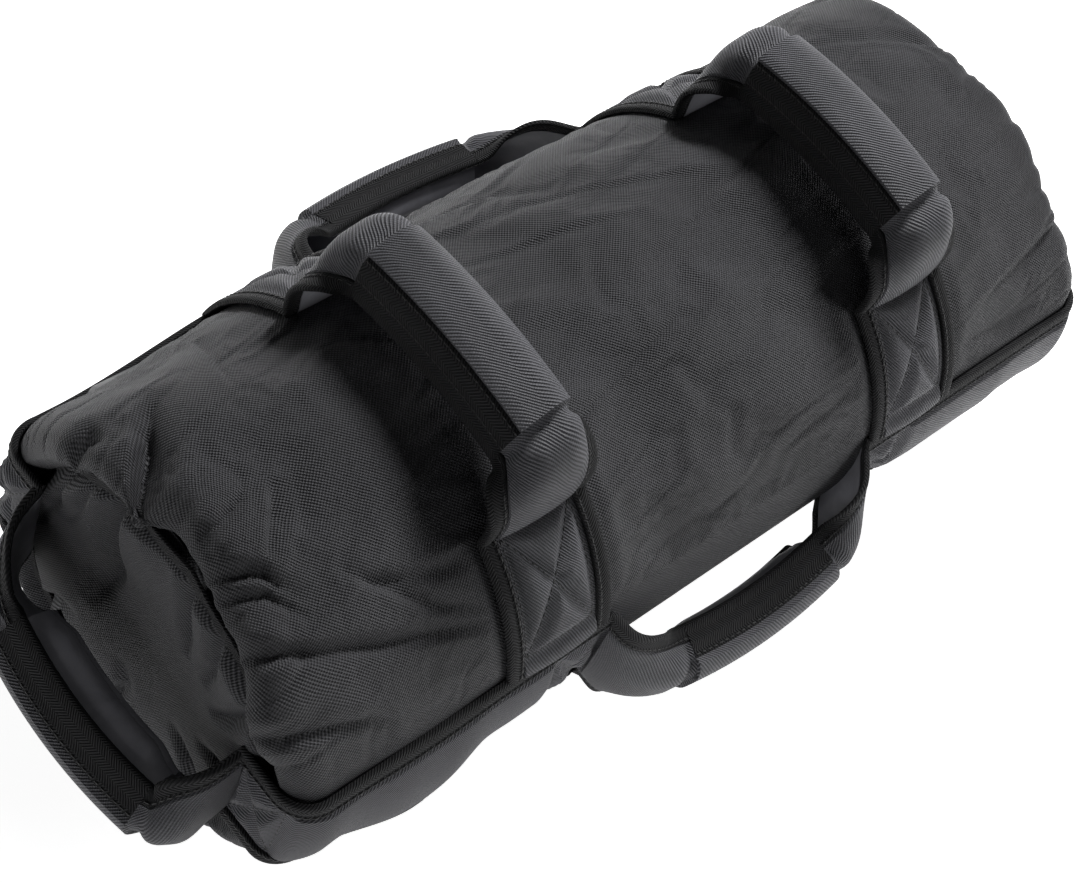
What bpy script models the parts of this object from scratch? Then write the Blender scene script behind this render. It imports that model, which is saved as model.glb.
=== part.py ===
"""Sandbag trainer: a fabric shell with six folded handles, a zip and three sand-filled inner bags.

Blender 4.5, metres, +Z up. The bag lies on the floor with its length along X. The origin is the
middle of its underside, -X is its left end, -Y its near side and +Y its far side.

The skin of the bag is one outline round X, read by distance from the widest line of the near side
and by the offset from the skin, so that every strap, tape and inner bag takes its place from it.
"""
import math

import bmesh
import bpy
import numpy as np

# The bag
BAG_LENGTH = 0.592            # from rim to rim
BAG_WIDTH = 0.250
BAG_HEIGHT = 0.211
UNDERSIDE_PRESS = 0.002       # how far the floor presses the round underside flat
UNDERSIDE_SQUARENESS = 2.2    # power of the lower half's outline, where 2 is an ellipse
SHELL_THICKNESS = 0.003
RIM_RADIUS = 0.018            # how the shell turns in at both ends
END_PANEL_THICKNESS = 0.0025
END_PANEL_SINK = 0.014        # how far the slack end panel falls in at its middle
GATHER_DEPTH = 0.005          # how far the shell is drawn in at the gathers of its rims
GATHER_PITCH = 0.058
GATHER_REACH = 0.050          # how far the gathers run along the bag before they fade
SEAM_ALLOWANCE = 0.004        # flat width of each sheet beside the rim seam
SEAM_BINDING_WIDTH = 0.007
SEAM_BINDING_THICKNESS = 0.002
FIT_GAP = 0.0003              # left between two pieces that touch
SEAM_GAP = 0.0008             # left inside the shell, at the rims' bindings and the inner bags

# The straps, all of one webbing with bound edges
STRAP_WIDTH = 0.068
WEB_THICKNESS = 0.0026
BINDING_WIDTH = 0.009
BINDING_RISE = 0.0014         # how far the binding stands above the webbing
GIRTH_TOP = 0.027             # height of the girth strap's upper edge along the skin
GIRTH_PADDING = 0.004         # how far the girth strap's foam lifts its middle
BAND_SPACING = 0.272          # between the middles of the two handle bands
BAND_TOP = 0.104              # height of the bands' sewn upper ends along the skin

# The handles, each a strap folded to a channel round a foam core
GRIP_LENGTH = 0.112
GRIP_WIDTH = 0.042
GRIP_BEND_RADIUS = 0.008
GRIP_CROWN = 0.005            # how far the middle of a grip arches past its ends
TOP_HANDLE_RISE = 0.053
TOP_ROOT_ANGLE = 96.0         # degrees from the chord, where a flare leaves the bag
SIDE_HANDLE_CHORD = 0.200
SIDE_HANDLE_RISE = 0.050
SIDE_ROOT_ANGLE = 66.0
SIDE_NEAR_DROOP = 46.0        # degrees below level, of the line from the roots to the grip
SIDE_FAR_DROOP = 26.0
SIDE_GRIP_ROLL = 4.0          # degrees that the folded grip faces below level
END_HANDLE_CHORD = 0.160
END_HANDLE_RISE = 0.046
END_ROOT_ANGLE = 84.0
END_HANDLE_DROOP = 22.0
END_GRIP_ROLL = 34.0
FLARE_PULL_SHARE = 0.46       # of a flare's span, how far its line holds each end's direction
FLARE_SETTLE_SHARE = 0.5      # of a flare, over which the strap's curve on the bag goes flat

# The zip, below the girth strap on the far side
ZIP_LENGTH = 0.460
ZIP_DROP = 0.073              # from the bag's widest line down the skin to the zip
ZIP_SLOT_WIDTH = 0.015
ZIP_TAPE_WIDTH = 0.014
ZIP_TAPE_THICKNESS = 0.0009
ZIP_TAPE_OVERHANG = 0.014     # of the tapes past the slot's ends
TOOTH_PITCH = 0.006
TOOTH_WIDTH = 0.0024
TOOTH_REACH = 0.0013          # of a tooth past the middle of the closed chain
TOOTH_RAIL = 0.0020           # width of the moulded rail that carries the teeth
CHAIN_HALF_WIDTH = 0.0045
CHAIN_THICKNESS = 0.0024
STOP_LENGTH = 0.004
STOP_THICKNESS = 0.0014
STOP_WIDTH = 0.010
SLIDER_LENGTH = 0.015
SLIDER_WIDTH = 0.0115
SLIDER_PLATE = 0.0012
SLIDER_CLEARANCE = 0.0006     # between the chain and the slider's plates
SLIDER_NECK_LENGTH = 0.003
SLIDER_NECK_WIDTH = 0.0025
CROWN_LENGTH = 0.0092
CROWN_WIDTH = 0.0022
CROWN_WIRE = 0.0012
CROWN_CLEAR_HEIGHT = 0.0026
PULL_LENGTH = 0.027
PULL_WIDTH = 0.0085
PULL_THICKNESS = 0.0014
PULL_EYE_LENGTH = 0.0062
PULL_EYE_WIDTH = 0.0042
PULL_BAR = 0.0014
PULL_TAPER_SHARE = 0.7        # of the pull's half width, at its tip
SLIDER_TAPER_SHARE = 0.55     # of the slider's half width, at both ends of its plates

# The inner bags
FILLER_COUNT = 3
FILLER_END_GAP = 0.004        # between the outer inner bags and the sunk end panels
FILLER_SKIN = 0.0012
FILLER_CORNER = 0.030
FILLER_TOP_SLACK = 0.010      # empty height above the inner bags
FILLER_ZIP_DENT = 0.012       # how far the zip presses into them
FILLER_DENT_REACH = 0.030
MOUTH_LENGTH_SHARE = 0.5      # of an inner bag's length
CLOSURE_WIDTH = 0.030
CLOSURE_THICKNESS = 0.0025
CLOSURE_OVERLAP = 0.010       # of the closure strip past the mouth's ends

# How finely the forms are cut
OUTLINE_STEPS = 1440
SHELL_COLUMNS = 36
RIM_ROWS = 3
FADE_ROWS = 2
BODY_ROWS = 2
PANEL_RINGS = 3
STRAP_SHARES = (-1.0, -0.74, -0.70, -0.36, 0.0, 0.36, 0.70, 0.74, 1.0)
BAND_ROWS = 8
GIRTH_SIDE_ROWS = 1
GIRTH_CORNER_ROWS = 5
GIRTH_END_ROWS = 2
FLARE_ROWS = 7
GRIP_ROWS = 5
FILLER_SKIP_COUNT = 2         # an inner bag has a column of points at every second of the shell's
FILLER_END_ROWS = 2

HALF_LENGTH = BAG_LENGTH / 2
HALF_WIDTH = BAG_WIDTH / 2
HALF_STRAP = STRAP_WIDTH / 2
BINDING_SHARE = BINDING_WIDTH / HALF_STRAP
WIDTH_SHARES = np.array(STRAP_SHARES)
SIDES = {"near": -1, "far": 1}
ENDS = {"left": -1, "right": 1}

COLLECTION_NAME = "sandbag_trainer"
CUTTER_COLLECTION_NAME = "cutters"

# Linear colour, roughness and metallic value of each material
MATERIALS = {
    "shell_cloth": ((0.026, 0.026, 0.028), 0.78, 0.0),
    "strap_webbing": ((0.045, 0.045, 0.048), 0.70, 0.0),
    "binding_tape": ((0.010, 0.010, 0.011), 0.65, 0.0),
    "foam": ((0.012, 0.012, 0.013), 0.90, 0.0),
    "zip_tape": ((0.012, 0.012, 0.013), 0.75, 0.0),
    "zip_plastic": ((0.020, 0.020, 0.021), 0.40, 0.0),
    "zip_metal": ((0.060, 0.060, 0.065), 0.38, 1.0),
    "inner_cloth": ((0.030, 0.032, 0.036), 0.72, 0.0),
    "hook_and_loop": ((0.014, 0.014, 0.015), 0.95, 0.0),
    "sand": ((0.45, 0.36, 0.24), 0.95, 0.0),
}


# The outline round the bag

def outline_table():
    """Points, outward normals and running distance of the skin's outline, from the near side up."""
    turn = np.linspace(0.0, 2 * math.pi, OUTLINE_STEPS + 1)
    rise = np.sin(turn)
    reach = np.cos(turn)
    power = np.where(rise >= 0, 1.0, 2.0 / UNDERSIDE_SQUARENESS)
    depth = np.where(rise >= 0, BAG_HEIGHT / 2, BAG_HEIGHT / 2 + UNDERSIDE_PRESS)
    y = -HALF_WIDTH * np.sign(reach) * np.abs(reach) ** power
    z = np.maximum(BAG_HEIGHT / 2 + depth * np.sign(rise) * np.abs(rise) ** power, 0.0)
    distance = np.concatenate([[0.0], np.cumsum(np.hypot(np.diff(y), np.diff(z)))])
    even = np.linspace(0.0, distance[-1], OUTLINE_STEPS + 1)
    y = np.interp(even, distance, y)
    z = np.interp(even, distance, z)
    along_y = np.roll(y[:-1], -1) - np.roll(y[:-1], 1)
    along_z = np.roll(z[:-1], -1) - np.roll(z[:-1], 1)
    size = np.hypot(along_y, along_z)
    normal = np.stack([-along_z / size, along_y / size], 1)
    normal = np.vstack([normal, normal[:1]])
    return even, np.stack([y, z], 1), normal


DISTANCE, OUTLINE, NORMAL = outline_table()
GIRTH_LINE = DISTANCE[-1]
FAR_LINE = DISTANCE[np.argmax(OUTLINE[:, 0])]


def around(side, height):
    """Distance round the outline of a point that lies this high along the skin on one side."""
    if side == "near":
        return height
    return FAR_LINE - height


def outline(distance, offset):
    """The outline's (y, z) at a distance round it, this far outside the skin."""
    distance = np.mod(distance, GIRTH_LINE)
    point = [np.interp(distance, DISTANCE, OUTLINE[:, axis]) for axis in (0, 1)]
    out = [np.interp(distance, DISTANCE, NORMAL[:, axis]) for axis in (0, 1)]
    return point[0] + out[0] * offset, point[1] + out[1] * offset


def smooth_step(share):
    share = np.clip(share, 0.0, 1.0)
    return share * share * (3.0 - 2.0 * share)


def gather(x, distance):
    """How far the skin is drawn in by the gathers at the rims, none of them under the straps."""
    from_end = np.maximum(HALF_LENGTH - np.abs(x), 0.0)
    fade = smooth_step(1.0 - from_end / GATHER_REACH)
    wave = 0.5 + 0.5 * np.cos(2 * math.pi * distance / GATHER_PITCH)
    clear = 1.0
    for side in SIDES:
        middle = around(side, GIRTH_TOP - HALF_STRAP)
        away = np.abs(np.mod(distance - middle + GIRTH_LINE / 2, GIRTH_LINE) - GIRTH_LINE / 2)
        clear = clear * smooth_step((away - HALF_STRAP) / (HALF_STRAP / 2))
    return GATHER_DEPTH * fade * wave * clear


def skin(x, distance, offset=0.0):
    """A point on the bag's skin, or this far outside it."""
    y, z = outline(distance, offset - gather(x, distance))
    return np.stack(np.broadcast_arrays(np.asarray(x, float), y, z), -1)


# Building pieces

def clear_scene():
    for item in list(bpy.data.objects):
        bpy.data.objects.remove(item, do_unlink=True)


def make_collection(name):
    collection = bpy.data.collections.get(name) or bpy.data.collections.new(name)
    if name not in bpy.context.scene.collection.children:
        bpy.context.scene.collection.children.link(collection)
    return collection


def make_material(name):
    colour, roughness, metallic = MATERIALS[name]
    material = bpy.data.materials.new(name)
    material.use_nodes = True
    shader = material.node_tree.nodes["Principled BSDF"]
    shader.inputs["Base Color"].default_value = (*colour, 1.0)
    shader.inputs["Roughness"].default_value = roughness
    shader.inputs["Metallic"].default_value = metallic
    material.diffuse_color = (*colour, 1.0)
    return material


def material_for(node, kind):
    """Each node has its own material, named after it."""
    material = make_material(kind)
    material.name = node + "_" + kind
    return material


def link(item, collection_name=COLLECTION_NAME):
    make_collection(collection_name).objects.link(item)
    return item


def add_mesh(name, points, faces, kind, pivot=None):
    """One object from points in world places. A moving piece hangs on the empty at its pivot."""
    points = np.asarray(points, float).reshape(-1, 3)
    origin = np.zeros(3) if pivot is None else np.array(pivot.location)
    mesh = bpy.data.meshes.new(name)
    mesh.from_pydata([tuple(point) for point in points - origin], [], faces)
    tidy = bmesh.new()
    tidy.from_mesh(mesh)
    bmesh.ops.recalc_face_normals(tidy, faces=tidy.faces)
    tidy.to_mesh(mesh)
    tidy.free()
    mesh.shade_smooth()
    mesh.set_sharp_from_angle(angle=math.radians(40.0))
    item = bpy.data.objects.new(name, mesh)
    item.data.materials.append(material_for(name, kind))
    item.parent = pivot
    return link(item)


def add_pivot(name, place):
    """An empty on a joint's axis, which carries what the joint moves."""
    pivot = bpy.data.objects.new(name, None)
    pivot.empty_display_size = GRIP_LENGTH / 4
    pivot.location = place
    return link(pivot)


def grid_faces(rows, columns, start=0, closed=False):
    """Quads between neighbouring rows of points, each row closed to a ring if asked."""
    faces = []
    for row in range(rows - 1):
        for column in range(columns if closed else columns - 1):
            following = (column + 1) % columns
            low = start + row * columns
            high = low + columns
            faces.append((low + column, low + following, high + following, high + column))
    return faces


def add_ribbon(name, outer, inner, kind, pivot=None):
    """A strap from its outer and inner faces, each an array of rows of points across its width."""
    rows, columns = outer.shape[:2]
    count = rows * columns
    faces = grid_faces(rows, columns) + [face[::-1] for face in grid_faces(rows, columns, count)]
    for row in range(rows - 1):
        for column in (0, columns - 1):
            low = row * columns + column
            faces.append((low, low + columns, low + columns + count, low + count))
    for column in range(columns - 1):
        for row in (0, rows - 1):
            low = row * columns + column
            faces.append((low, low + 1, low + 1 + count, low + count))
    points = np.concatenate([outer.reshape(-1, 3), inner.reshape(-1, 3)])
    return add_mesh(name, points, faces, kind, pivot)


def add_loft(name, rings, kind, pivot=None, left_out=()):
    """A closed form through rings of points, with a flat face at both ends."""
    rows, columns = rings.shape[:2]
    faces = grid_faces(rows, columns, closed=True)
    faces = [face for place, face in enumerate(faces) if place not in left_out]
    faces.append(tuple(range(columns)))
    faces.append(tuple(range((rows - 1) * columns, rows * columns)))
    return add_mesh(name, rings, faces, kind, pivot)


def thicken(item, thickness):
    """Gives an open sheet its thickness, inwards from its outer face."""
    solid = item.modifiers.new("thickness", "SOLIDIFY")
    solid.thickness = thickness
    solid.offset = -1.0
    solid.use_even_offset = True
    return item


def turned(vector, axis, degrees):
    """A vector turned about a unit axis."""
    angle = math.radians(degrees)
    vector = np.asarray(vector, float)
    axis = np.asarray(axis, float)
    return (vector * math.cos(angle) + np.cross(axis, vector) * math.sin(angle)
            + axis * np.dot(axis, vector) * (1 - math.cos(angle)))


# The shell and its ends

def zip_line(height=0.0):
    """Distance round the outline of the zip's middle, or of a line this far above it."""
    return around("far", -ZIP_DROP + height)


def zip_tape_reach():
    """Distance along the skin from the zip's middle to a tape's outer edge."""
    return CHAIN_HALF_WIDTH + SEAM_GAP + ZIP_TAPE_WIDTH


def shell_rows():
    """Places along X of the shell's rows, with how far each is turned in from the skin."""
    turn = np.linspace(math.pi / 2, 0.0, RIM_ROWS + 1)
    rim_x = -HALF_LENGTH + RIM_RADIUS * (1 - np.sin(turn))
    rim_inset = RIM_RADIUS * (1 - np.cos(turn))
    rim_x = np.concatenate([rim_x[:1], rim_x])
    rim_inset = np.concatenate([[RIM_RADIUS + SEAM_ALLOWANCE], rim_inset])
    half = ZIP_LENGTH / 2
    fade_x = np.linspace(rim_x[-1], -half, FADE_ROWS + 2)[1:-1]
    middle_x = np.linspace(-half, half, BODY_ROWS)
    left = np.concatenate([rim_x, fade_x])
    xs = np.concatenate([left, middle_x, -left[::-1]])
    inset = np.zeros(len(xs))
    inset[:len(rim_inset)] = rim_inset
    inset[-len(rim_inset):] = rim_inset[::-1]
    return xs, inset


def shell_columns():
    """Distances round the outline of the shell's columns, from one edge of the slot to the other."""
    start = zip_line(-ZIP_SLOT_WIDTH / 2)
    end = zip_line(ZIP_SLOT_WIDTH / 2) + GIRTH_LINE
    tape = zip_tape_reach() - ZIP_SLOT_WIDTH / 2
    rest = np.linspace(start + tape, end - tape, SHELL_COLUMNS - 2)
    return np.concatenate([[start], rest, [end]])


def make_shell():
    """One sheet of cloth round the bag, turned in at both rims and slit for the zip."""
    xs, inset = shell_rows()
    distances = shell_columns()
    rows = [skin(x, distances, -turn_in) for x, turn_in in zip(xs, inset)]
    columns = len(distances)
    faces = []
    for place, face in enumerate(grid_faces(len(rows), columns, closed=True)):
        row, column = divmod(place, columns)
        middle = (xs[row] + xs[row + 1]) / 2
        if column < columns - 1 or abs(middle) > ZIP_LENGTH / 2:
            faces.append(face)
    shell = add_mesh("body_shell", np.array(rows), faces, "shell_cloth")
    return thicken(shell, SHELL_THICKNESS)


def rim_ring(end, inset, back):
    """A ring of points inside one rim, this far in from the skin and back from the rim's plane."""
    ring = skin(end * HALF_LENGTH, shell_columns(), -inset)
    ring[:, 0] -= end * back
    return ring


def make_end_panel(name, end):
    """A round cloth panel, level with the rim at its edge and slack in its middle."""
    edge = rim_ring(end, RIM_RADIUS + 2 * SEAM_ALLOWANCE + FIT_GAP, 0.0)
    centre = np.array([end * HALF_LENGTH, 0.0, BAG_HEIGHT / 2])
    shares = 1.0 - np.arange(PANEL_RINGS) / PANEL_RINGS
    rings = [rim_ring(end, RIM_RADIUS + SEAM_ALLOWANCE + FIT_GAP, 0.0)]
    for share in shares:
        ring = centre + (edge - centre) * share
        ring[:, 0] -= end * END_PANEL_SINK * (1 - share ** 2)
        rings.append(ring)
    points = np.array(rings)
    faces = grid_faces(len(rings), SHELL_COLUMNS, closed=True)
    last = (len(rings) - 1) * SHELL_COLUMNS
    faces.append(tuple(range(last, last + SHELL_COLUMNS)))
    panel = add_mesh(name, points, faces, "shell_cloth")
    outward = sum(face.normal.x * face.area for face in panel.data.polygons) * end
    if outward < 0:
        panel.data.flip_normals()
    return thicken(panel, END_PANEL_THICKNESS)


def make_seam_binding(name, end):
    """The tape that binds the raw edges of the rim seam, inside the bag."""
    back = SHELL_THICKNESS + SEAM_GAP
    middle = RIM_RADIUS + SEAM_ALLOWANCE
    low, high = middle - SEAM_BINDING_WIDTH / 2, middle + SEAM_BINDING_WIDTH / 2
    corners = ((low, back), (high, back), (high, back + SEAM_BINDING_THICKNESS),
               (low, back + SEAM_BINDING_THICKNESS))
    rings = [rim_ring(end, inset, depth) for inset, depth in corners]
    loops = np.array(rings)
    columns = SHELL_COLUMNS
    faces = []
    for row in range(len(rings)):
        following = (row + 1) % len(rings)
        for column in range(columns):
            beside = (column + 1) % columns
            faces.append((row * columns + column, row * columns + beside,
                          following * columns + beside, following * columns + column))
    return add_mesh(name, loops, faces, "binding_tape")


# The straps that are sewn flat on the bag

def strap_thickness(padding=0.0):
    """Thickness at each width share: webbing, a foam crown if padded, and the bound edges."""
    share = np.abs(WIDTH_SHARES)
    bound = share > 1.0 - BINDING_SHARE
    crown = padding * np.clip(1.0 - (share / (1.0 - BINDING_SHARE)) ** 2, 0.0, 1.0)
    return WEB_THICKNESS + np.where(bound, BINDING_RISE, crown)


def band_faces(end, side, height):
    """Outer and inner points across a handle band at one height along the skin."""
    xs = ENDS[end] * BAND_SPACING / 2 + WIDTH_SHARES * HALF_STRAP
    distance = around(side, height)
    outer = np.array([skin(x, distance, FIT_GAP + thickness)
                      for x, thickness in zip(xs, strap_thickness())])
    inner = np.array([skin(x, distance, FIT_GAP) for x in xs])
    return outer, inner


def make_band(end, side):
    """The part of a top handle's strap that is sewn to the bag below the handle."""
    heights = np.linspace(GIRTH_TOP + FIT_GAP, BAND_TOP, BAND_ROWS)
    rows = [band_faces(end, side, height) for height in heights]
    outer = np.array([row[0] for row in rows])
    inner = np.array([row[1] for row in rows])
    return add_ribbon("handle_band_" + end + "_" + side, outer, inner, "strap_webbing")


def girth_faces(end, side, place, share):
    """Outer and inner points across the girth strap.

    place is "side", "corner" or "end", and share is how far along that stretch the points lie,
    from the side handle's root to the end handle's.
    """
    heights = GIRTH_TOP - HALF_STRAP + WIDTH_SHARES * HALF_STRAP
    y, z = outline(around(side, heights), 0.0)
    middle = BAG_HEIGHT / 2 + np.mean(z - BAG_HEIGHT / 2)
    flat_z = middle + WIDTH_SHARES * HALF_STRAP
    flat_y = np.full_like(y, SIDES[side] * HALF_WIDTH)
    turn_start = HALF_LENGTH - RIM_RADIUS
    bend = math.pi / 2 * {"side": 0.0, "corner": share, "end": 1.0}[place]
    settle = {"side": 0.0, "corner": share, "end": 1.0}[place]
    z = z + (flat_z - z) * settle
    y = y + (flat_y - y) * settle
    faces = []
    for offset in (FIT_GAP + strap_thickness(GIRTH_PADDING), np.full_like(y, FIT_GAP)):
        radius = RIM_RADIUS + offset
        x = turn_start + radius * math.sin(bend)
        out_y = y + SIDES[side] * (radius * math.cos(bend) - RIM_RADIUS)
        if place == "side":
            start = SIDE_HANDLE_CHORD / 2
            x = np.full_like(y, start + (turn_start - start) * share)
        if place == "end":
            start = HALF_WIDTH - RIM_RADIUS
            reach = start + (END_HANDLE_CHORD / 2 - start) * share
            out_y = np.full_like(y, SIDES[side] * reach)
        faces.append(np.stack([ENDS[end] * x, out_y, z], 1))
    return faces


def girth_middle(side):
    """The (y, z) of the girth strap's middle line, on its inner face."""
    return outline(around(side, GIRTH_TOP - HALF_STRAP), FIT_GAP)


def make_girth_strap(end, side):
    """A quarter of the padded strap round the bag, from a side handle to an end handle."""
    stretches = (("side", GIRTH_SIDE_ROWS), ("corner", GIRTH_CORNER_ROWS), ("end", GIRTH_END_ROWS))
    rows = []
    for place, count in stretches:
        shares = np.arange(count) / count
        rows += [girth_faces(end, side, place, share) for share in shares]
    rows.append(girth_faces(end, side, "end", 1.0))
    outer = np.array([row[0] for row in rows])
    inner = np.array([row[1] for row in rows])
    return add_ribbon("girth_strap_" + side + "_" + end, outer, inner, "strap_webbing")


# The handles

def folded_section(fold):
    """Inner and outer points across a strap folded round a core.

    fold is 0 for a flat strap and 1 for a channel with square sides. The strap keeps its width.
    The result holds, for each width share, its place across and out from the strap's inner face.
    """
    bend_length = GRIP_BEND_RADIUS * math.pi / 2
    flat = GRIP_WIDTH / 2 - WEB_THICKNESS - GRIP_BEND_RADIUS
    along = np.abs(WIDTH_SHARES) * HALF_STRAP
    turn = fold * math.pi / 2
    bent = np.clip((along - flat) / bend_length, 0.0, 1.0)
    angle = bent * turn
    if turn > 0:
        radius = bend_length / turn
        across = np.minimum(along, flat) + radius * np.sin(angle)
        down = radius * (1 - np.cos(angle))
    else:
        across = np.minimum(along, flat) + bent * bend_length
        down = np.zeros_like(along)
    rest = np.maximum(along - flat - bend_length, 0.0)
    across = across + rest * np.cos(angle)
    down = down + rest * np.sin(angle)
    side = np.sign(WIDTH_SHARES)
    inner = np.stack([side * across, -down], 1)
    normal = np.stack([side * np.sin(angle), np.cos(angle)], 1)
    outer = inner + normal * strap_thickness()[:, None]
    return inner, outer, normal


class Handle:
    """Where one handle stands: its chord, the way out of the bag, and how its strap lies."""

    def __init__(self, name, middle, chord, out, width, size, shape):
        self.name = name
        self.middle = np.array(middle, float)
        self.chord = np.array(chord, float)
        self.out = np.array(out, float)
        self.width = np.array(width, float)
        self.half_chord, self.rise, self.root_angle = size
        self.droop, self.roll = shape

    def grip_line(self, along):
        """Height above the chord and slope of the grip's line, this far along the chord."""
        share = along / (GRIP_LENGTH / 2)
        return self.rise + GRIP_CROWN * (1 - share ** 2), -2 * GRIP_CROWN * share / (GRIP_LENGTH / 2)

    def flare_line(self, share):
        """A point and slope of the flare's line in the handle's plane, from its root up."""
        start = np.array([-self.half_chord, 0.0])
        end_x = -GRIP_LENGTH / 2 - FIT_GAP
        height, slope = self.grip_line(end_x)
        end = np.array([end_x, height])
        size = np.linalg.norm(end - start)
        leave = math.radians(self.root_angle)
        arrive = math.atan(slope)
        pull = size * FLARE_PULL_SHARE
        first = start + pull * np.array([math.cos(leave), math.sin(leave)])
        second = end - pull * np.array([math.cos(arrive), math.sin(arrive)])
        rest = 1 - share
        point = (rest ** 3 * start + 3 * rest ** 2 * share * first
                 + 3 * rest * share ** 2 * second + share ** 3 * end)
        speed = (rest ** 2 * (first - start) + 2 * rest * share * (second - first)
                 + share ** 2 * (end - second))
        return point, math.atan2(speed[1], speed[0])

    def place(self, along, height, slope, roll_share, flip, section):
        """World points of a section whose columns are across and out, at a point of the line."""
        chord = self.chord * flip
        axis = self.chord
        droop_out = turned(self.out, axis, self.droop_turn())
        out = turned(self.out, axis, self.roll_turn() * roll_share)
        width = turned(self.width, axis, self.roll_turn() * roll_share)
        normal = -math.sin(slope) * chord + math.cos(slope) * out
        centre = self.middle + chord * along + droop_out * height
        return centre + section[:, :1] * width + section[:, 1:] * normal

    def droop_turn(self):
        """The turn about the chord that lowers the way out by the droop."""
        return self.lowering() * self.droop

    def roll_turn(self):
        return self.lowering() * self.roll

    def lowering(self):
        """1 or -1, the sense of turning about the chord that lowers the way out."""
        down = np.cross(self.chord, self.out)[2]
        return -1.0 if down > 0 else 1.0


def make_grip(handle, pivot):
    """The folded cover of a grip and the foam core inside it."""
    inner, outer, normal = folded_section(1.0)
    core = inner - normal * FIT_GAP
    covers, linings, cores = [], [], []
    for along in np.linspace(-GRIP_LENGTH / 2, GRIP_LENGTH / 2, GRIP_ROWS + 1):
        height, slope = handle.grip_line(along)
        angle = math.atan(slope)
        covers.append(handle.place(along, height, angle, 1.0, 1, outer))
        linings.append(handle.place(along, height, angle, 1.0, 1, inner))
        cores.append(handle.place(along, height, angle, 1.0, 1, core))
    add_ribbon(handle.name + "_cover", np.array(covers), np.array(linings), "strap_webbing", pivot)
    add_loft(handle.name + "_core", np.array(cores), "foam", pivot)


def make_flare(handle, label, flip, root_outer, root_inner, root_normal, shift):
    """The free strap between a sewn root and the grip, which folds from flat to a channel."""
    root = handle.middle - handle.chord * flip * handle.half_chord
    local = [np.stack([(face - root) @ handle.width, (face - root) @ root_normal], 1)
             for face in (root_outer, root_inner)]
    outer_rows = [root_outer + shift]
    inner_rows = [root_inner + shift]
    for share in np.linspace(0.0, 1.0, FLARE_ROWS + 1)[1:]:
        (along, height), slope = handle.flare_line(share)
        inner, outer, _ = folded_section(float(smooth_step(share)))
        settle = float(smooth_step(share / FLARE_SETTLE_SHARE))
        outer = local[0] + (outer - local[0]) * settle
        inner = local[1] + (inner - local[1]) * settle
        roll = float(smooth_step(share))
        outer_rows.append(handle.place(along, height, slope, roll, flip, outer))
        inner_rows.append(handle.place(along, height, slope, roll, flip, inner))
    name = handle.name + "_flare_" + label
    add_ribbon(name, np.array(outer_rows), np.array(inner_rows), "strap_webbing")


def make_top_handle(end):
    y, z = outline(around("near", BAND_TOP), FIT_GAP)
    middle = (ENDS[end] * BAND_SPACING / 2, 0.0, z)
    size = (abs(y), TOP_HANDLE_RISE, TOP_ROOT_ANGLE)
    handle = Handle("top_handle_" + end, middle, (0, 1, 0), (0, 0, 1), (1, 0, 0), size, (0.0, 0.0))
    pivot = add_pivot(handle.name + "_pivot", middle)
    make_grip(handle, pivot)
    for side, sign in SIDES.items():
        outer, inner = band_faces(end, side, BAND_TOP)
        below = band_faces(end, side, BAND_TOP - FIT_GAP)[1]
        normal = (outer - inner)[len(WIDTH_SHARES) // 2]
        shift = (inner - below)
        flip = -sign
        make_flare(handle, side, flip, outer, inner, normal / np.linalg.norm(normal), shift)
    return handle


def make_side_handle(side):
    y, z = girth_middle(side)
    middle = (0.0, y, z)
    size = (SIDE_HANDLE_CHORD / 2, SIDE_HANDLE_RISE, SIDE_ROOT_ANGLE)
    out = (0, SIDES[side], 0)
    droop = SIDE_NEAR_DROOP if side == "near" else SIDE_FAR_DROOP
    shape = (droop, SIDE_GRIP_ROLL)
    handle = Handle("side_handle_" + side, middle, (1, 0, 0), out, (0, 0, 1), size, shape)
    pivot = add_pivot(handle.name + "_pivot", middle)
    make_grip(handle, pivot)
    for end, sign in ENDS.items():
        outer, inner = girth_faces(end, side, "side", 0.0)
        shift = np.array([-sign * FIT_GAP, 0.0, 0.0])
        make_flare(handle, end, -sign, outer, inner, handle.out, shift)
    return handle


def make_end_handle(end):
    z = girth_faces(end, "near", "end", 1.0)[1][:, 2].mean()
    middle = (ENDS[end] * (HALF_LENGTH + FIT_GAP), 0.0, z)
    size = (END_HANDLE_CHORD / 2, END_HANDLE_RISE, END_ROOT_ANGLE)
    out = (ENDS[end], 0, 0)
    shape = (END_HANDLE_DROOP, END_GRIP_ROLL)
    handle = Handle("end_handle_" + end, middle, (0, 1, 0), out, (0, 0, 1), size, shape)
    pivot = add_pivot(handle.name + "_pivot", middle)
    make_grip(handle, pivot)
    for side, sign in SIDES.items():
        outer, inner = girth_faces(end, side, "end", 1.0)
        shift = np.array([0.0, -sign * FIT_GAP, 0.0])
        make_flare(handle, side, -sign, outer, inner, handle.out, shift)
    return handle


# The zip

def zip_frame():
    """The zip's middle on the skin, the way across it (up the skin) and the way out."""
    y, z = outline(zip_line(), 0.0)
    up_y, up_z = outline(zip_line(CHAIN_HALF_WIDTH), 0.0)
    across = np.array([0.0, up_y - y, up_z - z])
    across /= np.linalg.norm(across)
    out = np.cross(across, (1.0, 0.0, 0.0))
    if out[1] < 0:
        out = -out
    return np.array([0.0, y, z]), across, out


def zip_level():
    """How far inside the skin the middle of the chain lies, with the tapes under the shell."""
    return -(SHELL_THICKNESS + FIT_GAP + ZIP_TAPE_THICKNESS / 2)


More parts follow.
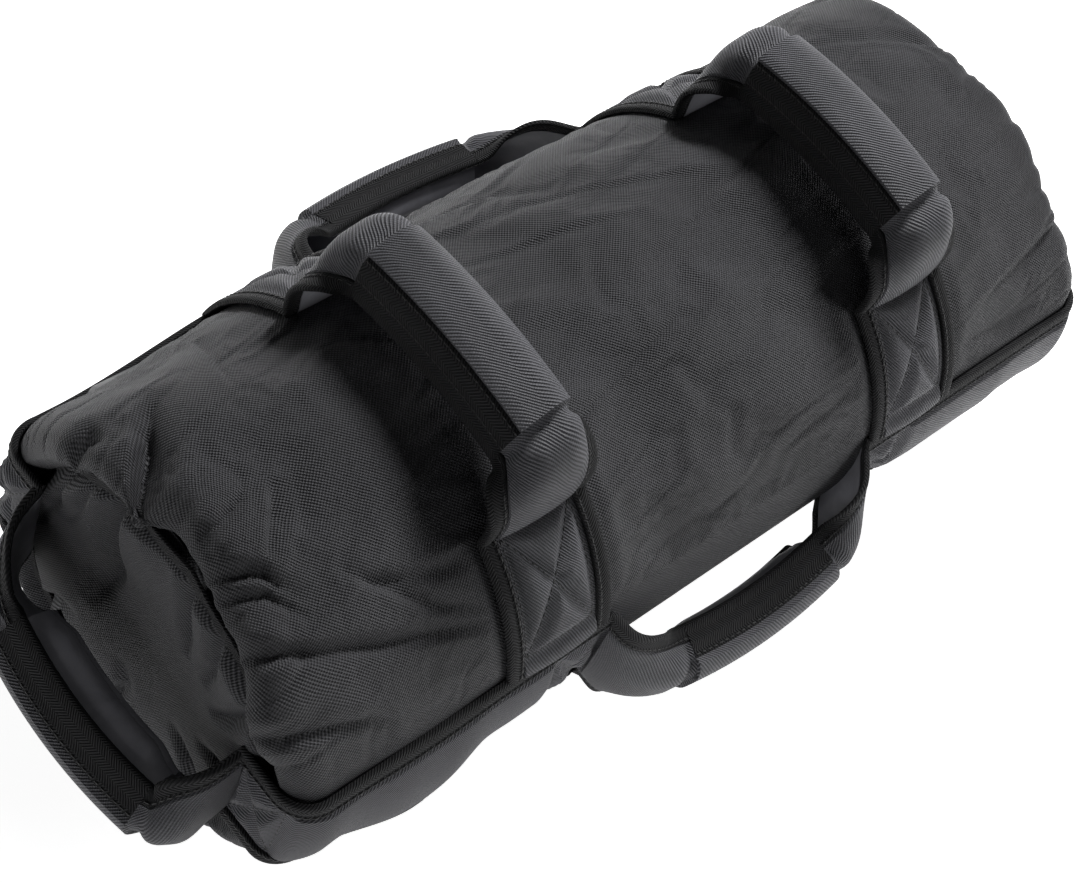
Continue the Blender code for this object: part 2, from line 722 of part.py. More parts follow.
def add_extruded(name, points, thickness, axes, centre, kind, pivot=None, collection=COLLECTION_NAME):
    """A flat outline, given in two of the axes, with its thickness along the third."""
    curve = bpy.data.curves.new(name, "CURVE")
    curve.dimensions = "2D"
    curve.fill_mode = "BOTH"
    curve.extrude = thickness / 2
    for outline_points in points:
        spline = curve.splines.new("POLY")
        spline.points.add(len(outline_points) - 1)
        for point, place in zip(spline.points, outline_points):
            point.co = (place[0], place[1], 0.0, 1.0)
        spline.use_cyclic_u = True
    drawn = bpy.data.objects.new(name + "_outline", curve)
    link(drawn, CUTTER_COLLECTION_NAME)
    bpy.context.view_layer.update()
    shape = drawn.evaluated_get(bpy.context.evaluated_depsgraph_get())
    mesh = bpy.data.meshes.new_from_object(shape)
    bpy.data.objects.remove(drawn, do_unlink=True)
    origin = np.zeros(3) if pivot is None else np.array(pivot.location)
    first, second, third = (np.asarray(axis, float) for axis in axes)
    for vertex in mesh.vertices:
        flat = np.array(vertex.co)
        vertex.co = centre - origin + flat[0] * first + flat[1] * second + flat[2] * third
    weld = bmesh.new()
    weld.from_mesh(mesh)
    bmesh.ops.remove_doubles(weld, verts=weld.verts, dist=FIT_GAP / 10)
    bmesh.ops.recalc_face_normals(weld, faces=weld.faces)
    weld.to_mesh(mesh)
    weld.free()
    mesh.name = name
    item = bpy.data.objects.new(name, mesh)
    item.data.materials.append(material_for(name, kind))
    item.parent = pivot
    return link(item, collection)


def rectangle(low_x, high_x, low_y, high_y):
    return [(low_x, low_y), (high_x, low_y), (high_x, high_y), (low_x, high_y)]


def make_zip_tapes():
    """Two tapes under the slot's edges, which follow the curve of the shell."""
    half = ZIP_LENGTH / 2 + ZIP_TAPE_OVERHANG
    under = -(SHELL_THICKNESS + FIT_GAP)
    reach = np.array([CHAIN_HALF_WIDTH + SEAM_GAP, ZIP_SLOT_WIDTH / 2, zip_tape_reach()])
    for label, sign in (("upper", 1), ("lower", -1)):
        distances = zip_line(sign * reach)
        outer = np.array([skin(x, distances, under) for x in (-half, half)])
        inner = np.array([skin(x, distances, under - ZIP_TAPE_THICKNESS) for x in (-half, half)])
        add_ribbon("zip_tape_" + label, outer, inner, "zip_tape")


def tooth_outline(sign, shift, half):
    """One side of the chain: a rail with square teeth that reach past the chain's middle."""
    rail = CHAIN_HALF_WIDTH - TOOTH_RAIL
    points = [(-half, sign * CHAIN_HALF_WIDTH), (-half, sign * rail)]
    count = int((2 * half - TOOTH_PITCH) / TOOTH_PITCH)
    first = -count * TOOTH_PITCH / 2 + shift
    for tooth in range(count):
        x = first + tooth * TOOTH_PITCH
        points += [(x, sign * rail), (x, -sign * TOOTH_REACH),
                   (x + TOOTH_WIDTH, -sign * TOOTH_REACH), (x + TOOTH_WIDTH, sign * rail)]
    points += [(half, sign * rail), (half, sign * CHAIN_HALF_WIDTH)]
    return points


def chain_half():
    """Half the length of the closed chain, which leaves room for the slider and the stops."""
    return ZIP_LENGTH / 2 - SEAM_GAP - STOP_LENGTH - SLIDER_NECK_LENGTH - 2 * SLIDER_CLEARANCE


def make_zip_teeth():
    middle, across, out = zip_frame()
    axes = ((1, 0, 0), across, out)
    centre = middle + out * zip_level()
    for label, sign, shift in (("upper", 1, 0.0), ("lower", -1, TOOTH_PITCH / 2)):
        outline_points = tooth_outline(sign, shift, chain_half())
        add_extruded("zip_teeth_" + label, [outline_points], CHAIN_THICKNESS, axes, centre,
                     "zip_plastic")


def make_zip_stops():
    """A moulded stop across both tapes at each end of the chain."""
    middle, across, out = zip_frame()
    axes = ((1, 0, 0), across, out)
    level = zip_level() + ZIP_TAPE_THICKNESS / 2 + FIT_GAP + STOP_THICKNESS / 2
    place = ZIP_LENGTH / 2 - SEAM_GAP - STOP_LENGTH / 2
    half_width = STOP_WIDTH / 2 + FIT_GAP
    for label, sign in ENDS.items():
        low, high = sign * place - STOP_LENGTH / 2, sign * place + STOP_LENGTH / 2
        add_extruded("zip_stop_" + label, [rectangle(low, high, -half_width, half_width)],
                     STOP_THICKNESS, axes, middle + out * level, "zip_plastic")


def slider_heights():
    """Out from the chain's middle: the plates' inner faces, their outer faces, and the bar's axis."""
    inner = CHAIN_THICKNESS / 2 + SLIDER_CLEARANCE
    outer = inner + SLIDER_PLATE
    return inner, outer, outer + CROWN_CLEAR_HEIGHT / 2


def slider_place():
    """World place of the slider's middle, with its neck just past the chain's left end."""
    middle, across, out = zip_frame()
    x = -chain_half() - SLIDER_CLEARANCE - SLIDER_NECK_LENGTH + SLIDER_LENGTH / 2
    return middle + np.array([x, 0.0, 0.0]) + out * zip_level()


def join(item, other):
    """Joins a guide object, which the build leaves out, to an item."""
    other.hide_render = True
    other.display_type = "WIRE"
    cut = item.modifiers.new("with_" + other.name, "BOOLEAN")
    cut.operation = "UNION"
    cut.object = other


def make_slider():
    """Two plates joined by a neck between the tapes, with a crown that holds the pull."""
    _, across, out = zip_frame()
    centre = slider_place()
    pivot = add_pivot("zip_slider_pivot", centre)
    inner, outer, _ = slider_heights()
    half = SLIDER_LENGTH / 2
    wide = SLIDER_WIDTH / 2
    narrow = wide * SLIDER_TAPER_SHARE
    plan = ((1, 0, 0), across, out)
    plate = [(-half, -narrow), (-half + narrow, -wide), (half - narrow, -wide), (half, -narrow),
             (half, narrow), (half - narrow, wide), (-half + narrow, wide), (-half, narrow)]
    level = (inner + outer) / 2
    slider = add_extruded("zip_slider", [plate], SLIDER_PLATE, plan, centre + out * level,
                          "zip_metal", pivot)
    under = add_extruded("slider_under_plate", [plate], SLIDER_PLATE, plan, centre - out * level,
                         "zip_metal", pivot, CUTTER_COLLECTION_NAME)
    start = -half + (SLIDER_NECK_LENGTH - SLIDER_NECK_WIDTH) / 2
    post = rectangle(start, start + SLIDER_NECK_WIDTH, -SLIDER_NECK_WIDTH / 2, SLIDER_NECK_WIDTH / 2)
    neck = add_extruded("slider_neck", [post], 2 * level, plan, centre, "zip_metal", pivot,
                        CUTTER_COLLECTION_NAME)
    reach = CROWN_LENGTH / 2
    top = outer + CROWN_CLEAR_HEIGHT
    foot = level
    arch = [(-reach, foot), (-reach + CROWN_WIRE, foot), (-reach + CROWN_WIRE, top),
            (reach - CROWN_WIRE, top), (reach - CROWN_WIRE, foot), (reach, foot),
            (reach, top + CROWN_WIRE / 2), (reach - CROWN_WIRE / 2, top + CROWN_WIRE),
            (-reach + CROWN_WIRE / 2, top + CROWN_WIRE), (-reach, top + CROWN_WIRE / 2)]
    side_view = ((1, 0, 0), out, across)
    crown = add_extruded("slider_crown", [arch], CROWN_WIDTH, side_view, centre, "zip_metal", pivot,
                         CUTTER_COLLECTION_NAME)
    for piece in (neck, under, crown):
        join(slider, piece)
    return pivot


def make_pull(slider_pivot):
    """A flat tab whose end bar lies in the slider's crown, and which hangs straight out."""
    _, across, out = zip_frame()
    _, _, bar = slider_heights()
    centre = slider_place() + out * bar
    pivot = add_pivot("zip_pull_pivot", centre)
    half = PULL_WIDTH / 2
    taper = half * PULL_TAPER_SHARE
    start = -PULL_BAR / 2
    end = start + PULL_LENGTH
    tab = [(start, -half), (start + PULL_BAR + PULL_EYE_LENGTH, -half), (end - taper, -taper),
           (end, -taper / 2), (end, taper / 2), (end - taper, taper),
           (start + PULL_BAR + PULL_EYE_LENGTH, half), (start, half)]
    eye = rectangle(start + PULL_BAR, start + PULL_BAR + PULL_EYE_LENGTH, -PULL_EYE_WIDTH / 2,
                    PULL_EYE_WIDTH / 2)
    add_extruded("zip_pull", [tab, eye], PULL_THICKNESS, (out, across, (1, 0, 0)), centre,
                 "zip_metal", pivot)
    pivot.parent = slider_pivot
    pivot.location = tuple(centre - np.array(slider_pivot.location))
    return pivot


# The inner bags

def filler_inset(distance):
    """How far inside the skin an inner bag's surface lies, with slack above and the zip's dent."""
    y, z = outline(distance, 0.0)
    raised = smooth_step((z / BAG_HEIGHT - 0.5) / 0.5)
    from_zip = np.abs(np.mod(distance - zip_line() + GIRTH_LINE / 2, GIRTH_LINE) - GIRTH_LINE / 2)
    dent = 1.0 - smooth_step(from_zip / FILLER_DENT_REACH)
    return SHELL_THICKNESS + SEAM_GAP + FILLER_TOP_SLACK * raised + FILLER_ZIP_DENT * dent


def filler_rings(start, end, inset):
    """Rings of an inner bag between two places along X, this far inside its own surface."""
    distances = shell_columns()[::FILLER_SKIP_COUNT]
    radius = FILLER_CORNER - inset
    turn = np.linspace(math.pi / 2, 0.0, FILLER_END_ROWS + 1)
    low = start + inset + radius * (1 - np.sin(turn))
    high = end - inset - radius * (1 - np.sin(turn[::-1]))
    drawn_in = radius * (1 - np.cos(turn))
    half_mouth = (end - start) * MOUTH_LENGTH_SHARE / 2
    middle = (start + end) / 2
    xs = np.concatenate([low, [middle - half_mouth, middle + half_mouth], high])
    insets = np.concatenate([drawn_in, [0.0, 0.0], drawn_in[::-1]])
    rings = []
    for x, more in zip(xs, insets):
        rings.append(skin(x, distances, -(filler_inset(distances) + inset + more)))
    return np.array(rings)


def make_filler(number, start, end):
    """An inner bag with a mouth along its top, its sand, and the closure over the mouth."""
    rings = filler_rings(start, end, 0.0)
    columns = rings.shape[1]
    top = int(np.argmax(rings[FILLER_END_ROWS + 1, :, 2]))
    heights = rings[FILLER_END_ROWS + 1, :, 2]
    before, after = (top - 1) % columns, (top + 1) % columns
    column = before if heights[before] > heights[after] else top
    mouth = (FILLER_END_ROWS + 1) * columns + column
    bag = add_loft("filler_bag_" + str(number), rings, "inner_cloth", left_out=(mouth,))
    thicken(bag, FILLER_SKIN)
    sand = filler_rings(start, end, FILLER_SKIN + SEAM_GAP)
    add_loft("sand_fill_" + str(number), sand, "sand")
    edge = rings[FILLER_END_ROWS + 1][[column, (column + 1) % columns]]
    spare = CLOSURE_WIDTH / 2 - abs(edge[1, 1] - edge[0, 1]) / 2
    low = edge[:, 2].max() + FIT_GAP
    half_x = (end - start) * MOUTH_LENGTH_SHARE / 2 + CLOSURE_OVERLAP
    centre = np.array([(start + end) / 2, edge[:, 1].mean(), low + CLOSURE_THICKNESS / 2])
    half_y = abs(edge[1, 1] - edge[0, 1]) / 2 + max(spare, 0.0)
    add_extruded("filler_closure_" + str(number), [rectangle(-half_x, half_x, -half_y, half_y)],
                 CLOSURE_THICKNESS, ((1, 0, 0), (0, 1, 0), (0, 0, 1)), centre, "hook_and_loop")


def make_fillers():
    reach = HALF_LENGTH - END_PANEL_SINK - END_PANEL_THICKNESS - FILLER_END_GAP
    step = 2 * reach / FILLER_COUNT
    for number in range(FILLER_COUNT):
        start = -reach + number * step + FIT_GAP / 2
        make_filler(number + 1, start, start + step - FIT_GAP)


def main():
    clear_scene()
    make_shell()
    for end, sign in ENDS.items():
        make_end_panel("end_panel_" + end, sign)
        make_seam_binding("seam_binding_" + end, sign)
        for side in SIDES:
            make_band(end, side)
            make_girth_strap(end, side)
        make_top_handle(end)
        make_end_handle(end)
    for side in SIDES:
        make_side_handle(side)
    make_zip_tapes()
    make_zip_teeth()
    make_zip_stops()
    slider_pivot = make_slider()
    make_pull(slider_pivot)
    make_fillers()


main()
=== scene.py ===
"""Looks of the sandbag trainer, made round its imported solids.

Metres, +Z up. The bag lies along X with its left end at -X, the near side at -Y and the zip on the
far side. Its skin is one outline round X, read by distance from the near side's widest line.
"""
import math

import bpy
import numpy as np
from mathutils import Matrix, Vector


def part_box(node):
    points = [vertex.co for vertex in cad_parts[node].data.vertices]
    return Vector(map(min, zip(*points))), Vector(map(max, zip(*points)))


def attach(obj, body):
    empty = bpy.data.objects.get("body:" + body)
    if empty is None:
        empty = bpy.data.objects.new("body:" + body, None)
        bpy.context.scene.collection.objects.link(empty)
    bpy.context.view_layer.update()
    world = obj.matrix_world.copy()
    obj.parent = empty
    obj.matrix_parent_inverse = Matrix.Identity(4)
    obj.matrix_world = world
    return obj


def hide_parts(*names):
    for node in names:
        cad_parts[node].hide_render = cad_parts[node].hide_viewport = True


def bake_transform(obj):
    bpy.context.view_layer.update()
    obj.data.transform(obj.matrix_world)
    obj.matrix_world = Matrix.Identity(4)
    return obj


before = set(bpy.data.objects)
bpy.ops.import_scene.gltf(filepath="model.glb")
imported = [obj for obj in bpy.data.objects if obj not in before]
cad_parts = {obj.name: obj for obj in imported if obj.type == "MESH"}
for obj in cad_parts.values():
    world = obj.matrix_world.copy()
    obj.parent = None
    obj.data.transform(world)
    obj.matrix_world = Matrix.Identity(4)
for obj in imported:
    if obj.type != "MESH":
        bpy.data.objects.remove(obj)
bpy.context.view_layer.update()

bl_info = {
    "name": "Sandbag Trainer",
    "version": (1, 0, 0),
    "blender": (4, 5, 0),
    "location": "View3D > Sidebar > Sandbag",
    "description": "Dresses the solids of a sandbag trainer in cloth, webbing, tape and thread",
    "category": "Object",
}

# Sizes that the solids have, so that each piece lies where its solid is
SHELL_LOW, SHELL_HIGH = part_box("body_shell")
BAG_LENGTH = SHELL_HIGH.x - SHELL_LOW.x
BAG_WIDTH = SHELL_HIGH.y - SHELL_LOW.y
BAG_HEIGHT = SHELL_HIGH.z - SHELL_LOW.z
UNDERSIDE_PRESS = 0.002
UNDERSIDE_SQUARENESS = 2.2
RIM_RADIUS = 0.018
SEAM_INSET = 0.022
FIT_GAP = 0.0003
STRAP_WIDTH = 0.068
WEB_THICKNESS = 0.0026
BINDING_WIDTH = 0.009
GIRTH_TOP = 0.027
GIRTH_PADDING = 0.004
TOP_PADDING = 0.0034
BAND_SPACING = 0.272
BAND_TOP = 0.104
GRIP_LENGTH = 0.112
GRIP_WIDTH = 0.034
GRIP_BEND_RADIUS = 0.009
GRIP_CROWN = 0.005
SIDE_HANDLE_CHORD = 0.200
SIDE_DROOP = {"near": 46.0, "far": 26.0}
SIDE_ROLL = 15.0
END_HANDLE_CHORD = 0.160
FLARE_PULL = 0.46
FLARE_SETTLE = 0.5
FLARE_ROWS = 26
GRIP_ROWS = 46
# How far the flap on a grip's open side folds, as a share of a right angle
OPEN_FOLD = 0.70
# How high a handle rises over its roots, and the angle in degrees at which it leaves them
TOP_RISE = (0.057, 96.0)
SIDE_RISE = (0.047, 66.0)
END_RISE = (0.046, 84.0)
# How the end handles lie, as droop, roll, open side and sideways shift, and the shift of the side ones
END_LIE = {"left": (29.0, 47.0, 0, -0.014), "right": (22.0, 34.0, 0, 0.0)}
SIDE_SHIFT = {"near": 0.010, "far": 0.0}
TOP_ROLL = -20.0
# The tapes that show on a grip are wider, and a top grip has a line of stitches at this share across
GRIP_TAPE = 0.018
TOP_GRIP_TAPE = 0.0235
TOP_GRIP_LINES = (-0.62,)
# Shares across a strap: its web's edge, a tape's seam inside the tape's own edge, and a sewn box
WEB_EDGE = 0.94
TAPE_SEAM = 0.045
BOX_REACH = 0.66
# How far stitches and tapes press the padding down, as shares of it, and how far beside the stitches
STITCH_DENT = 0.8
TAPE_DENT = 0.85
DENT_WIDTH = 0.0070
PRESSED_WEB = 0.0006
# How far the lining stands out of a grip, how much more it does at the end handles, and how much of
# that and of the padding is lost towards the grip's ends
LINING_SWELL = 0.006
END_SWELL = 2.5
TAPERING = 0.35
# How far the sand pushes the near side out and lets the far side fall in towards the left end, and
# lifts the right end's top: depth, where it starts along the bag, and the length it takes
BULGE = (0.012, -0.279, 0.122)
HOLLOW = (0.010, -0.14, 0.13)
HIGH_SPOT = (0.007, 0.19, 0.06)
# How many times their drawn depth the left folds and the right ones have
FOLD_DEPTH = 1.5
RIGHT_FOLD_DEPTH = 0.9
COVER_FADE = 0.012
GATHER_LENGTH = 0.085
# The shell's simulation: pressure, stiffness, slack of its cloth, frames, and the most a point moves
SETTLE_PRESSURE = 1.2
SETTLE_STIFFNESS = 12.0
SETTLE_SLACK = 0.01
SETTLE_FRAMES = 10
SETTLE_CAP = 0.004
SHELL_THICKNESS = 0.0016
PANEL_EDGE = 0.4
ZIP_LENGTH = 0.460
ZIP_DROP = 0.073
ZIP_SLOT_WIDTH = 0.015
# A zip tape: its reach from the chain's middle, depth under the skin, thickness, length past the
# chain's end, and the distance of its seam from the chain's middle
ZIP_TAPE_REACH = (0.0053, 0.0193)
ZIP_TAPE_DEPTH = 0.0033
ZIP_TAPE_THICKNESS = 0.0009
ZIP_TAPE_OVERHANG = 0.014
ZIP_SEAM = 0.0105
# The slider needs the tapes level as far as this from the chain's middle
SLIDER_REACH = 0.0085

HALF_LENGTH = BAG_LENGTH / 2
HALF_WIDTH = BAG_WIDTH / 2
HALF_STRAP = STRAP_WIDTH / 2
SIDES = {"near": -1, "far": 1}
ENDS = {"left": -1, "right": 1}


def length_property(name, words, default, least):
    return bpy.props.FloatProperty(
        name=name, description=words, default=default, min=least, unit="LENGTH")


class SandbagSizes(bpy.types.PropertyGroup):
    """Sizes of the cloth's detail."""
    weave_pitch: length_property(
        "Weave pitch", "Distance between two yarns of the shell cloth", 0.00098, 0.0004)
    rib_pitch: length_property(
        "Rib pitch", "Distance between two ribs of the strap webbing", 0.0017, 0.0005)
    tape_pitch: length_property(
        "Tape pitch", "Distance between two lines of the binding tape's herringbone", 0.0018, 0.0005)
    crease_depth: length_property(
        "Crease depth", "Depth of the shell cloth's fine creases", 0.0016, 0.0)
    gather_depth: length_property(
        "Gather depth", "Depth of the gathers at the shell's rims", 0.0065, 0.0)
    stitch_length: length_property(
        "Stitch length", "Length of one stitch with the gap after it", 0.0042, 0.001)
    thread: length_property(
        "Thread", "Thickness of the sewing thread", 0.0008, 0.0002)
    binding_rise: length_property(
        "Binding rise", "How far the binding tape stands above the webbing", 0.0013, 0.0002)


def colour_property(name, words, hexadecimal):
    return bpy.props.FloatVectorProperty(
        name=name, description=words, subtype="COLOR", size=3, min=0.0, max=1.0,
        default=linear(hexadecimal))


def linear(hexadecimal):
    """Linear colour of an sRGB hex value."""
    channels = [int(hexadecimal[place:place + 2], 16) / 255 for place in (1, 3, 5)]
    return tuple(c / 12.92 if c <= 0.04045 else ((c + 0.055) / 1.055) ** 2.4 for c in channels)


class SandbagColours(bpy.types.PropertyGroup):
    """Colours of the bag's cloths and trim."""
    cloth: colour_property("Shell cloth", "Yarns of the shell cloth", "#3f3f43")
    webbing: colour_property("Webbing", "Ribs of the strap webbing", "#606065")
    tape: colour_property("Binding tape", "Yarns of the binding tape", "#272729")
    # The lining is a lighter grey than the shell. It is painted lighter still to stand in for light that the
    # handles' shade keeps off it
    lining: colour_property("Lining", "Smooth lining inside the handles", "#84848b")
    thread: colour_property("Thread", "Sewing thread", "#19191a")
    zip: colour_property("Zip", "Tapes and teeth of the zip", "#1b1b1c")
    metal: colour_property("Slider", "Painted metal of the slider and pull", "#2b2b2d")
    inner: colour_property("Inner bags", "Coated cloth of the inner bags", "#2e3034")
    sand: colour_property("Sand", "Dry quartz sand", "#b5a07c")
    floor: colour_property("Floor", "Studio floor", "#f4f4f4")


# The outline round the bag

def outline_table(steps=1440):
    """Points, outward normals and running distance of the skin's outline, from the near side up."""
    turn = np.linspace(0.0, 2 * math.pi, steps + 1)
    rise, reach = np.sin(turn), np.cos(turn)
    power = np.where(rise >= 0, 1.0, 2.0 / UNDERSIDE_SQUARENESS)
    depth = np.where(rise >= 0, BAG_HEIGHT / 2, BAG_HEIGHT / 2 + UNDERSIDE_PRESS)
    y = -HALF_WIDTH * np.sign(reach) * np.abs(reach) ** power
    z = np.maximum(BAG_HEIGHT / 2 + depth * np.sign(rise) * np.abs(rise) ** power, 0.0)
    distance = np.concatenate([[0.0], np.cumsum(np.hypot(np.diff(y), np.diff(z)))])
    even = np.linspace(0.0, distance[-1], steps + 1)
    y, z = np.interp(even, distance, y), np.interp(even, distance, z)
    along_y = np.roll(y[:-1], -1) - np.roll(y[:-1], 1)
    along_z = np.roll(z[:-1], -1) - np.roll(z[:-1], 1)
    size = np.hypot(along_y, along_z)
    normal = np.stack([-along_z / size, along_y / size], 1)
    return even, np.stack([y, z], 1), np.vstack([normal, normal[:1]])


DISTANCE, OUTLINE, NORMAL = outline_table()
GIRTH_LINE = DISTANCE[-1]
FAR_LINE = DISTANCE[np.argmax(OUTLINE[:, 0])]
ZIP_LINE = FAR_LINE + ZIP_DROP


def around(side, height):
    """Distance round the outline of a point that lies this high along the skin on one side."""
    return height if side == "near" else FAR_LINE - height


def outline(distance, offset):
    """The outline's (y, z) at a distance round it, this far outside the skin."""
    distance = np.mod(distance, GIRTH_LINE)
    point = [np.interp(distance, DISTANCE, OUTLINE[:, axis]) for axis in (0, 1)]
    out = [np.interp(distance, DISTANCE, NORMAL[:, axis]) for axis in (0, 1)]
    return point[0] + out[0] * offset, point[1] + out[1] * offset


def smooth_step(share):
    share = np.clip(share, 0.0, 1.0)
    return share * share * (3.0 - 2.0 * share)


def away_from(distance, middle):
    """How far round the bag a distance is from another."""
    return np.abs(np.mod(distance - middle + GIRTH_LINE / 2, GIRTH_LINE) - GIRTH_LINE / 2)


def lumps(x, distance, size_x, size_round, seed):
    """Smooth noise from -1 to 1 over the skin, which closes round the bag."""
    columns = max(3, int(round(GIRTH_LINE / size_round)))
    rows = int(BAG_LENGTH / size_x) + 6
    lattice = np.random.default_rng(seed).uniform(-1.0, 1.0, (rows, columns))
    u = (x + HALF_LENGTH) / size_x + 2.0
    v = np.mod(distance, GIRTH_LINE) / GIRTH_LINE * columns
    low_u, low_v = np.floor(u).astype(int), np.floor(v).astype(int)
    part_u, part_v = smooth_step(u - low_u), smooth_step(v - low_v)
    pick = lambda i, j: lattice[np.clip(i, 0, rows - 1), np.mod(j, columns)]
    low = pick(low_u, low_v) * (1 - part_u) + pick(low_u + 1, low_v) * part_u
    high = pick(low_u, low_v + 1) * (1 - part_u) + pick(low_u + 1, low_v + 1) * part_u
    return low * (1 - part_v) + high * part_v


# Making pieces

def deselect():
    if bpy.context.object and bpy.context.object.mode != "OBJECT":
        bpy.ops.object.mode_set(mode="OBJECT")
    bpy.ops.object.select_all(action="DESELECT")


def active(piece):
    deselect()
    piece.select_set(True)
    bpy.context.view_layer.objects.active = piece


def edit_all(piece, *steps):
    """Runs operators on the whole of a piece in edit mode, each given with its settings."""
    active(piece)
    bpy.ops.object.mode_set(mode="EDIT")
    for step, settings in steps:
        bpy.ops.mesh.select_all(action="SELECT")
        step(**settings)
    bpy.ops.object.mode_set(mode="OBJECT")


def cloth_grid(name, points, uv, filled=False, outward=None, crisp=50.0):
    """A tube of cloth laid at its points, by rows and columns, with its UV map in metres.

    Its two ends are filled where asked. A tube left open faces away from the point outward.
    """
    rows, columns = points.shape[:2]
    deselect()
    bpy.ops.mesh.primitive_grid_add(x_subdivisions=columns - 1, y_subdivisions=rows - 1, size=2.0)
    piece = bpy.context.object
    piece.name = piece.data.name = name
    mesh = piece.data
    place = np.empty(len(mesh.vertices) * 3)
    mesh.vertices.foreach_get("co", place)
    place = place.reshape(-1, 3)
    column = np.rint((place[:, 0] + 1) / 2 * (columns - 1)).astype(int)
    row = np.rint((place[:, 1] + 1) / 2 * (rows - 1)).astype(int)
    mesh.vertices.foreach_set("co", points[row, column].ravel())
    corner = np.empty(len(mesh.loops), int)
    mesh.loops.foreach_get("vertex_index", corner)
    layer = mesh.uv_layers.active or mesh.uv_layers.new(name="UVMap")
    layer.data.foreach_set("uv", uv[row[corner], column[corner]].ravel())
    mesh.update()
    caps = [(bpy.ops.mesh.fill_holes, {"sides": 0})] if filled else []
    edit_all(piece, (bpy.ops.mesh.remove_doubles, {"threshold": 0.000005}), *caps,
             (bpy.ops.mesh.normals_make_consistent, {"inside": False}))
    if outward is not None:
        facing = sum(p.area * p.normal.dot(p.center - Vector(outward)) for p in mesh.polygons)
        if facing < 0:
            mesh.flip_normals()
    bpy.ops.object.shade_smooth_by_angle(angle=math.radians(crisp))
    return piece


def apply_modifier(piece, kind, **settings):
    active(piece)
    modifier = piece.modifiers.new(kind.lower(), kind)
    for key, value in settings.items():
        setattr(modifier, key, value)
    bpy.ops.object.modifier_apply(modifier=modifier.name)


def dress(piece, material, body=None, nodes=()):
    """Gives a piece its material and its body, and hides the solids that it stands for."""
    piece.data.materials.clear()
    piece.data.materials.append(material)
    if body:
        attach(piece, body)
    if nodes:
        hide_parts(*nodes)
    return piece


def running(points):
    """Distance along a line of points."""
    return np.concatenate([[0.0], np.cumsum(np.linalg.norm(np.diff(points, axis=0), axis=1))])


# Straps: a run is a list of rows, each a function of the place across the strap and the lift above
# its inner face

def folded(fold, share, lift, open_side):
    """Places across and out of a strap folded round a core, from 0, flat, to 1, a square channel.

    The flap on the open side, -1 or 1, folds down less than the other.
    """
    bend_length = GRIP_BEND_RADIUS * math.pi / 2
    flat = GRIP_WIDTH / 2 - WEB_THICKNESS - GRIP_BEND_RADIUS
    along = np.abs(share) * HALF_STRAP
    turn = np.where(share * open_side > 0, OPEN_FOLD, 1.0) * max(fold, 1e-6) * math.pi / 2
    angle = np.clip((along - flat) / bend_length, 0.0, 1.0) * turn
    radius = bend_length / turn
    across = np.minimum(along, flat) + radius * np.sin(angle)
    down = radius * (1 - np.cos(angle))
    rest = np.maximum(along - flat - bend_length, 0.0)
    across = across + rest * np.cos(angle) + np.sin(angle) * lift
    down = down + rest * np.sin(angle) - np.cos(angle) * lift
    return np.stack([np.sign(share) * across, -down], 1)


def turned(vector, axis, degrees):
    return np.array(Matrix.Rotation(math.radians(degrees), 3, Vector(axis)) @ Vector(vector))


class Handle:
    """Where one handle stands, and the rows of its strap from root to root."""

    def __init__(self, name, middle, chord, out, width, half_chord, rise, root_angle, droop=0.0, roll=0.0,
                 open_side=1, shift=0.0):
        self.name, self.open_side, self.shift = name, open_side, shift
        self.middle, self.chord = np.array(middle, float), np.array(chord, float)
        self.out, self.width = np.array(out, float), np.array(width, float)
        self.half_chord, self.rise, self.root_angle = half_chord, rise, root_angle
        lowering = -1.0 if np.cross(self.chord, self.out)[2] > 0 else 1.0
        self.droop, self.roll = droop * lowering, roll * lowering

    def grip_line(self, along):
        share = along / (GRIP_LENGTH / 2)
        return self.rise + GRIP_CROWN * (1 - share ** 2), -4 * GRIP_CROWN * share / GRIP_LENGTH

    def flare_line(self, share):
        start = np.array([-self.half_chord, 0.0])
        end_x = -GRIP_LENGTH / 2
        height, slope = self.grip_line(end_x)
        end = np.array([end_x, height])
        pull = np.linalg.norm(end - start) * FLARE_PULL
        leave, arrive = math.radians(self.root_angle), math.atan(slope)
        first = start + pull * np.array([math.cos(leave), math.sin(leave)])
        second = end - pull * np.array([math.cos(arrive), math.sin(arrive)])
        rest = 1 - share
        point = (rest ** 3 * start + 3 * rest ** 2 * share * first
                 + 3 * rest * share ** 2 * second + share ** 3 * end)
        speed = (rest ** 2 * (first - start) + 2 * rest * share * (second - first)
                 + share ** 2 * (end - second))
        return point, math.atan2(speed[1], speed[0])

    def place(self, along, height, slope, roll, flip, section):
        droop_out = turned(self.out, self.chord, self.droop)
        out = turned(self.out, self.chord, self.roll * roll)
        width = turned(self.width, self.chord, self.roll * roll)
        normal = -math.sin(slope) * self.chord * flip + math.cos(slope) * out
        centre = self.middle + self.chord * (flip * along + self.shift * roll) + droop_out * height
        return centre + section[:, :1] * width + section[:, 1:] * normal

    def grip_row(self, along):
        height, slope = self.grip_line(along)
        return lambda share, lift: self.place(along, height, math.atan(slope), 1.0, 1,
                                              folded(1.0, share, lift, self.open_side))

    def grip_plane(self, along):
        """A row whose section is given across and out, for the core."""
        height, slope = self.grip_line(along)
        return lambda section: self.place(along, height, math.atan(slope), 1.0, 1, section)

    def flare_row(self, share, flip, root_row, root_normal):
        if share <= 0:
            return root_row
        root = self.middle - self.chord * flip * self.half_chord
        (along, height), slope = self.flare_line(share)
        step = float(smooth_step(share))
        settle = float(smooth_step(share / FLARE_SETTLE))

        def row(places, lift):
            face = root_row(places, lift) - root
            local = np.stack([face @ self.width, face @ root_normal], 1)
            section = local + (folded(step, places, lift, self.open_side) - local) * settle
            return self.place(along, height, slope, step, flip, section)
        return row


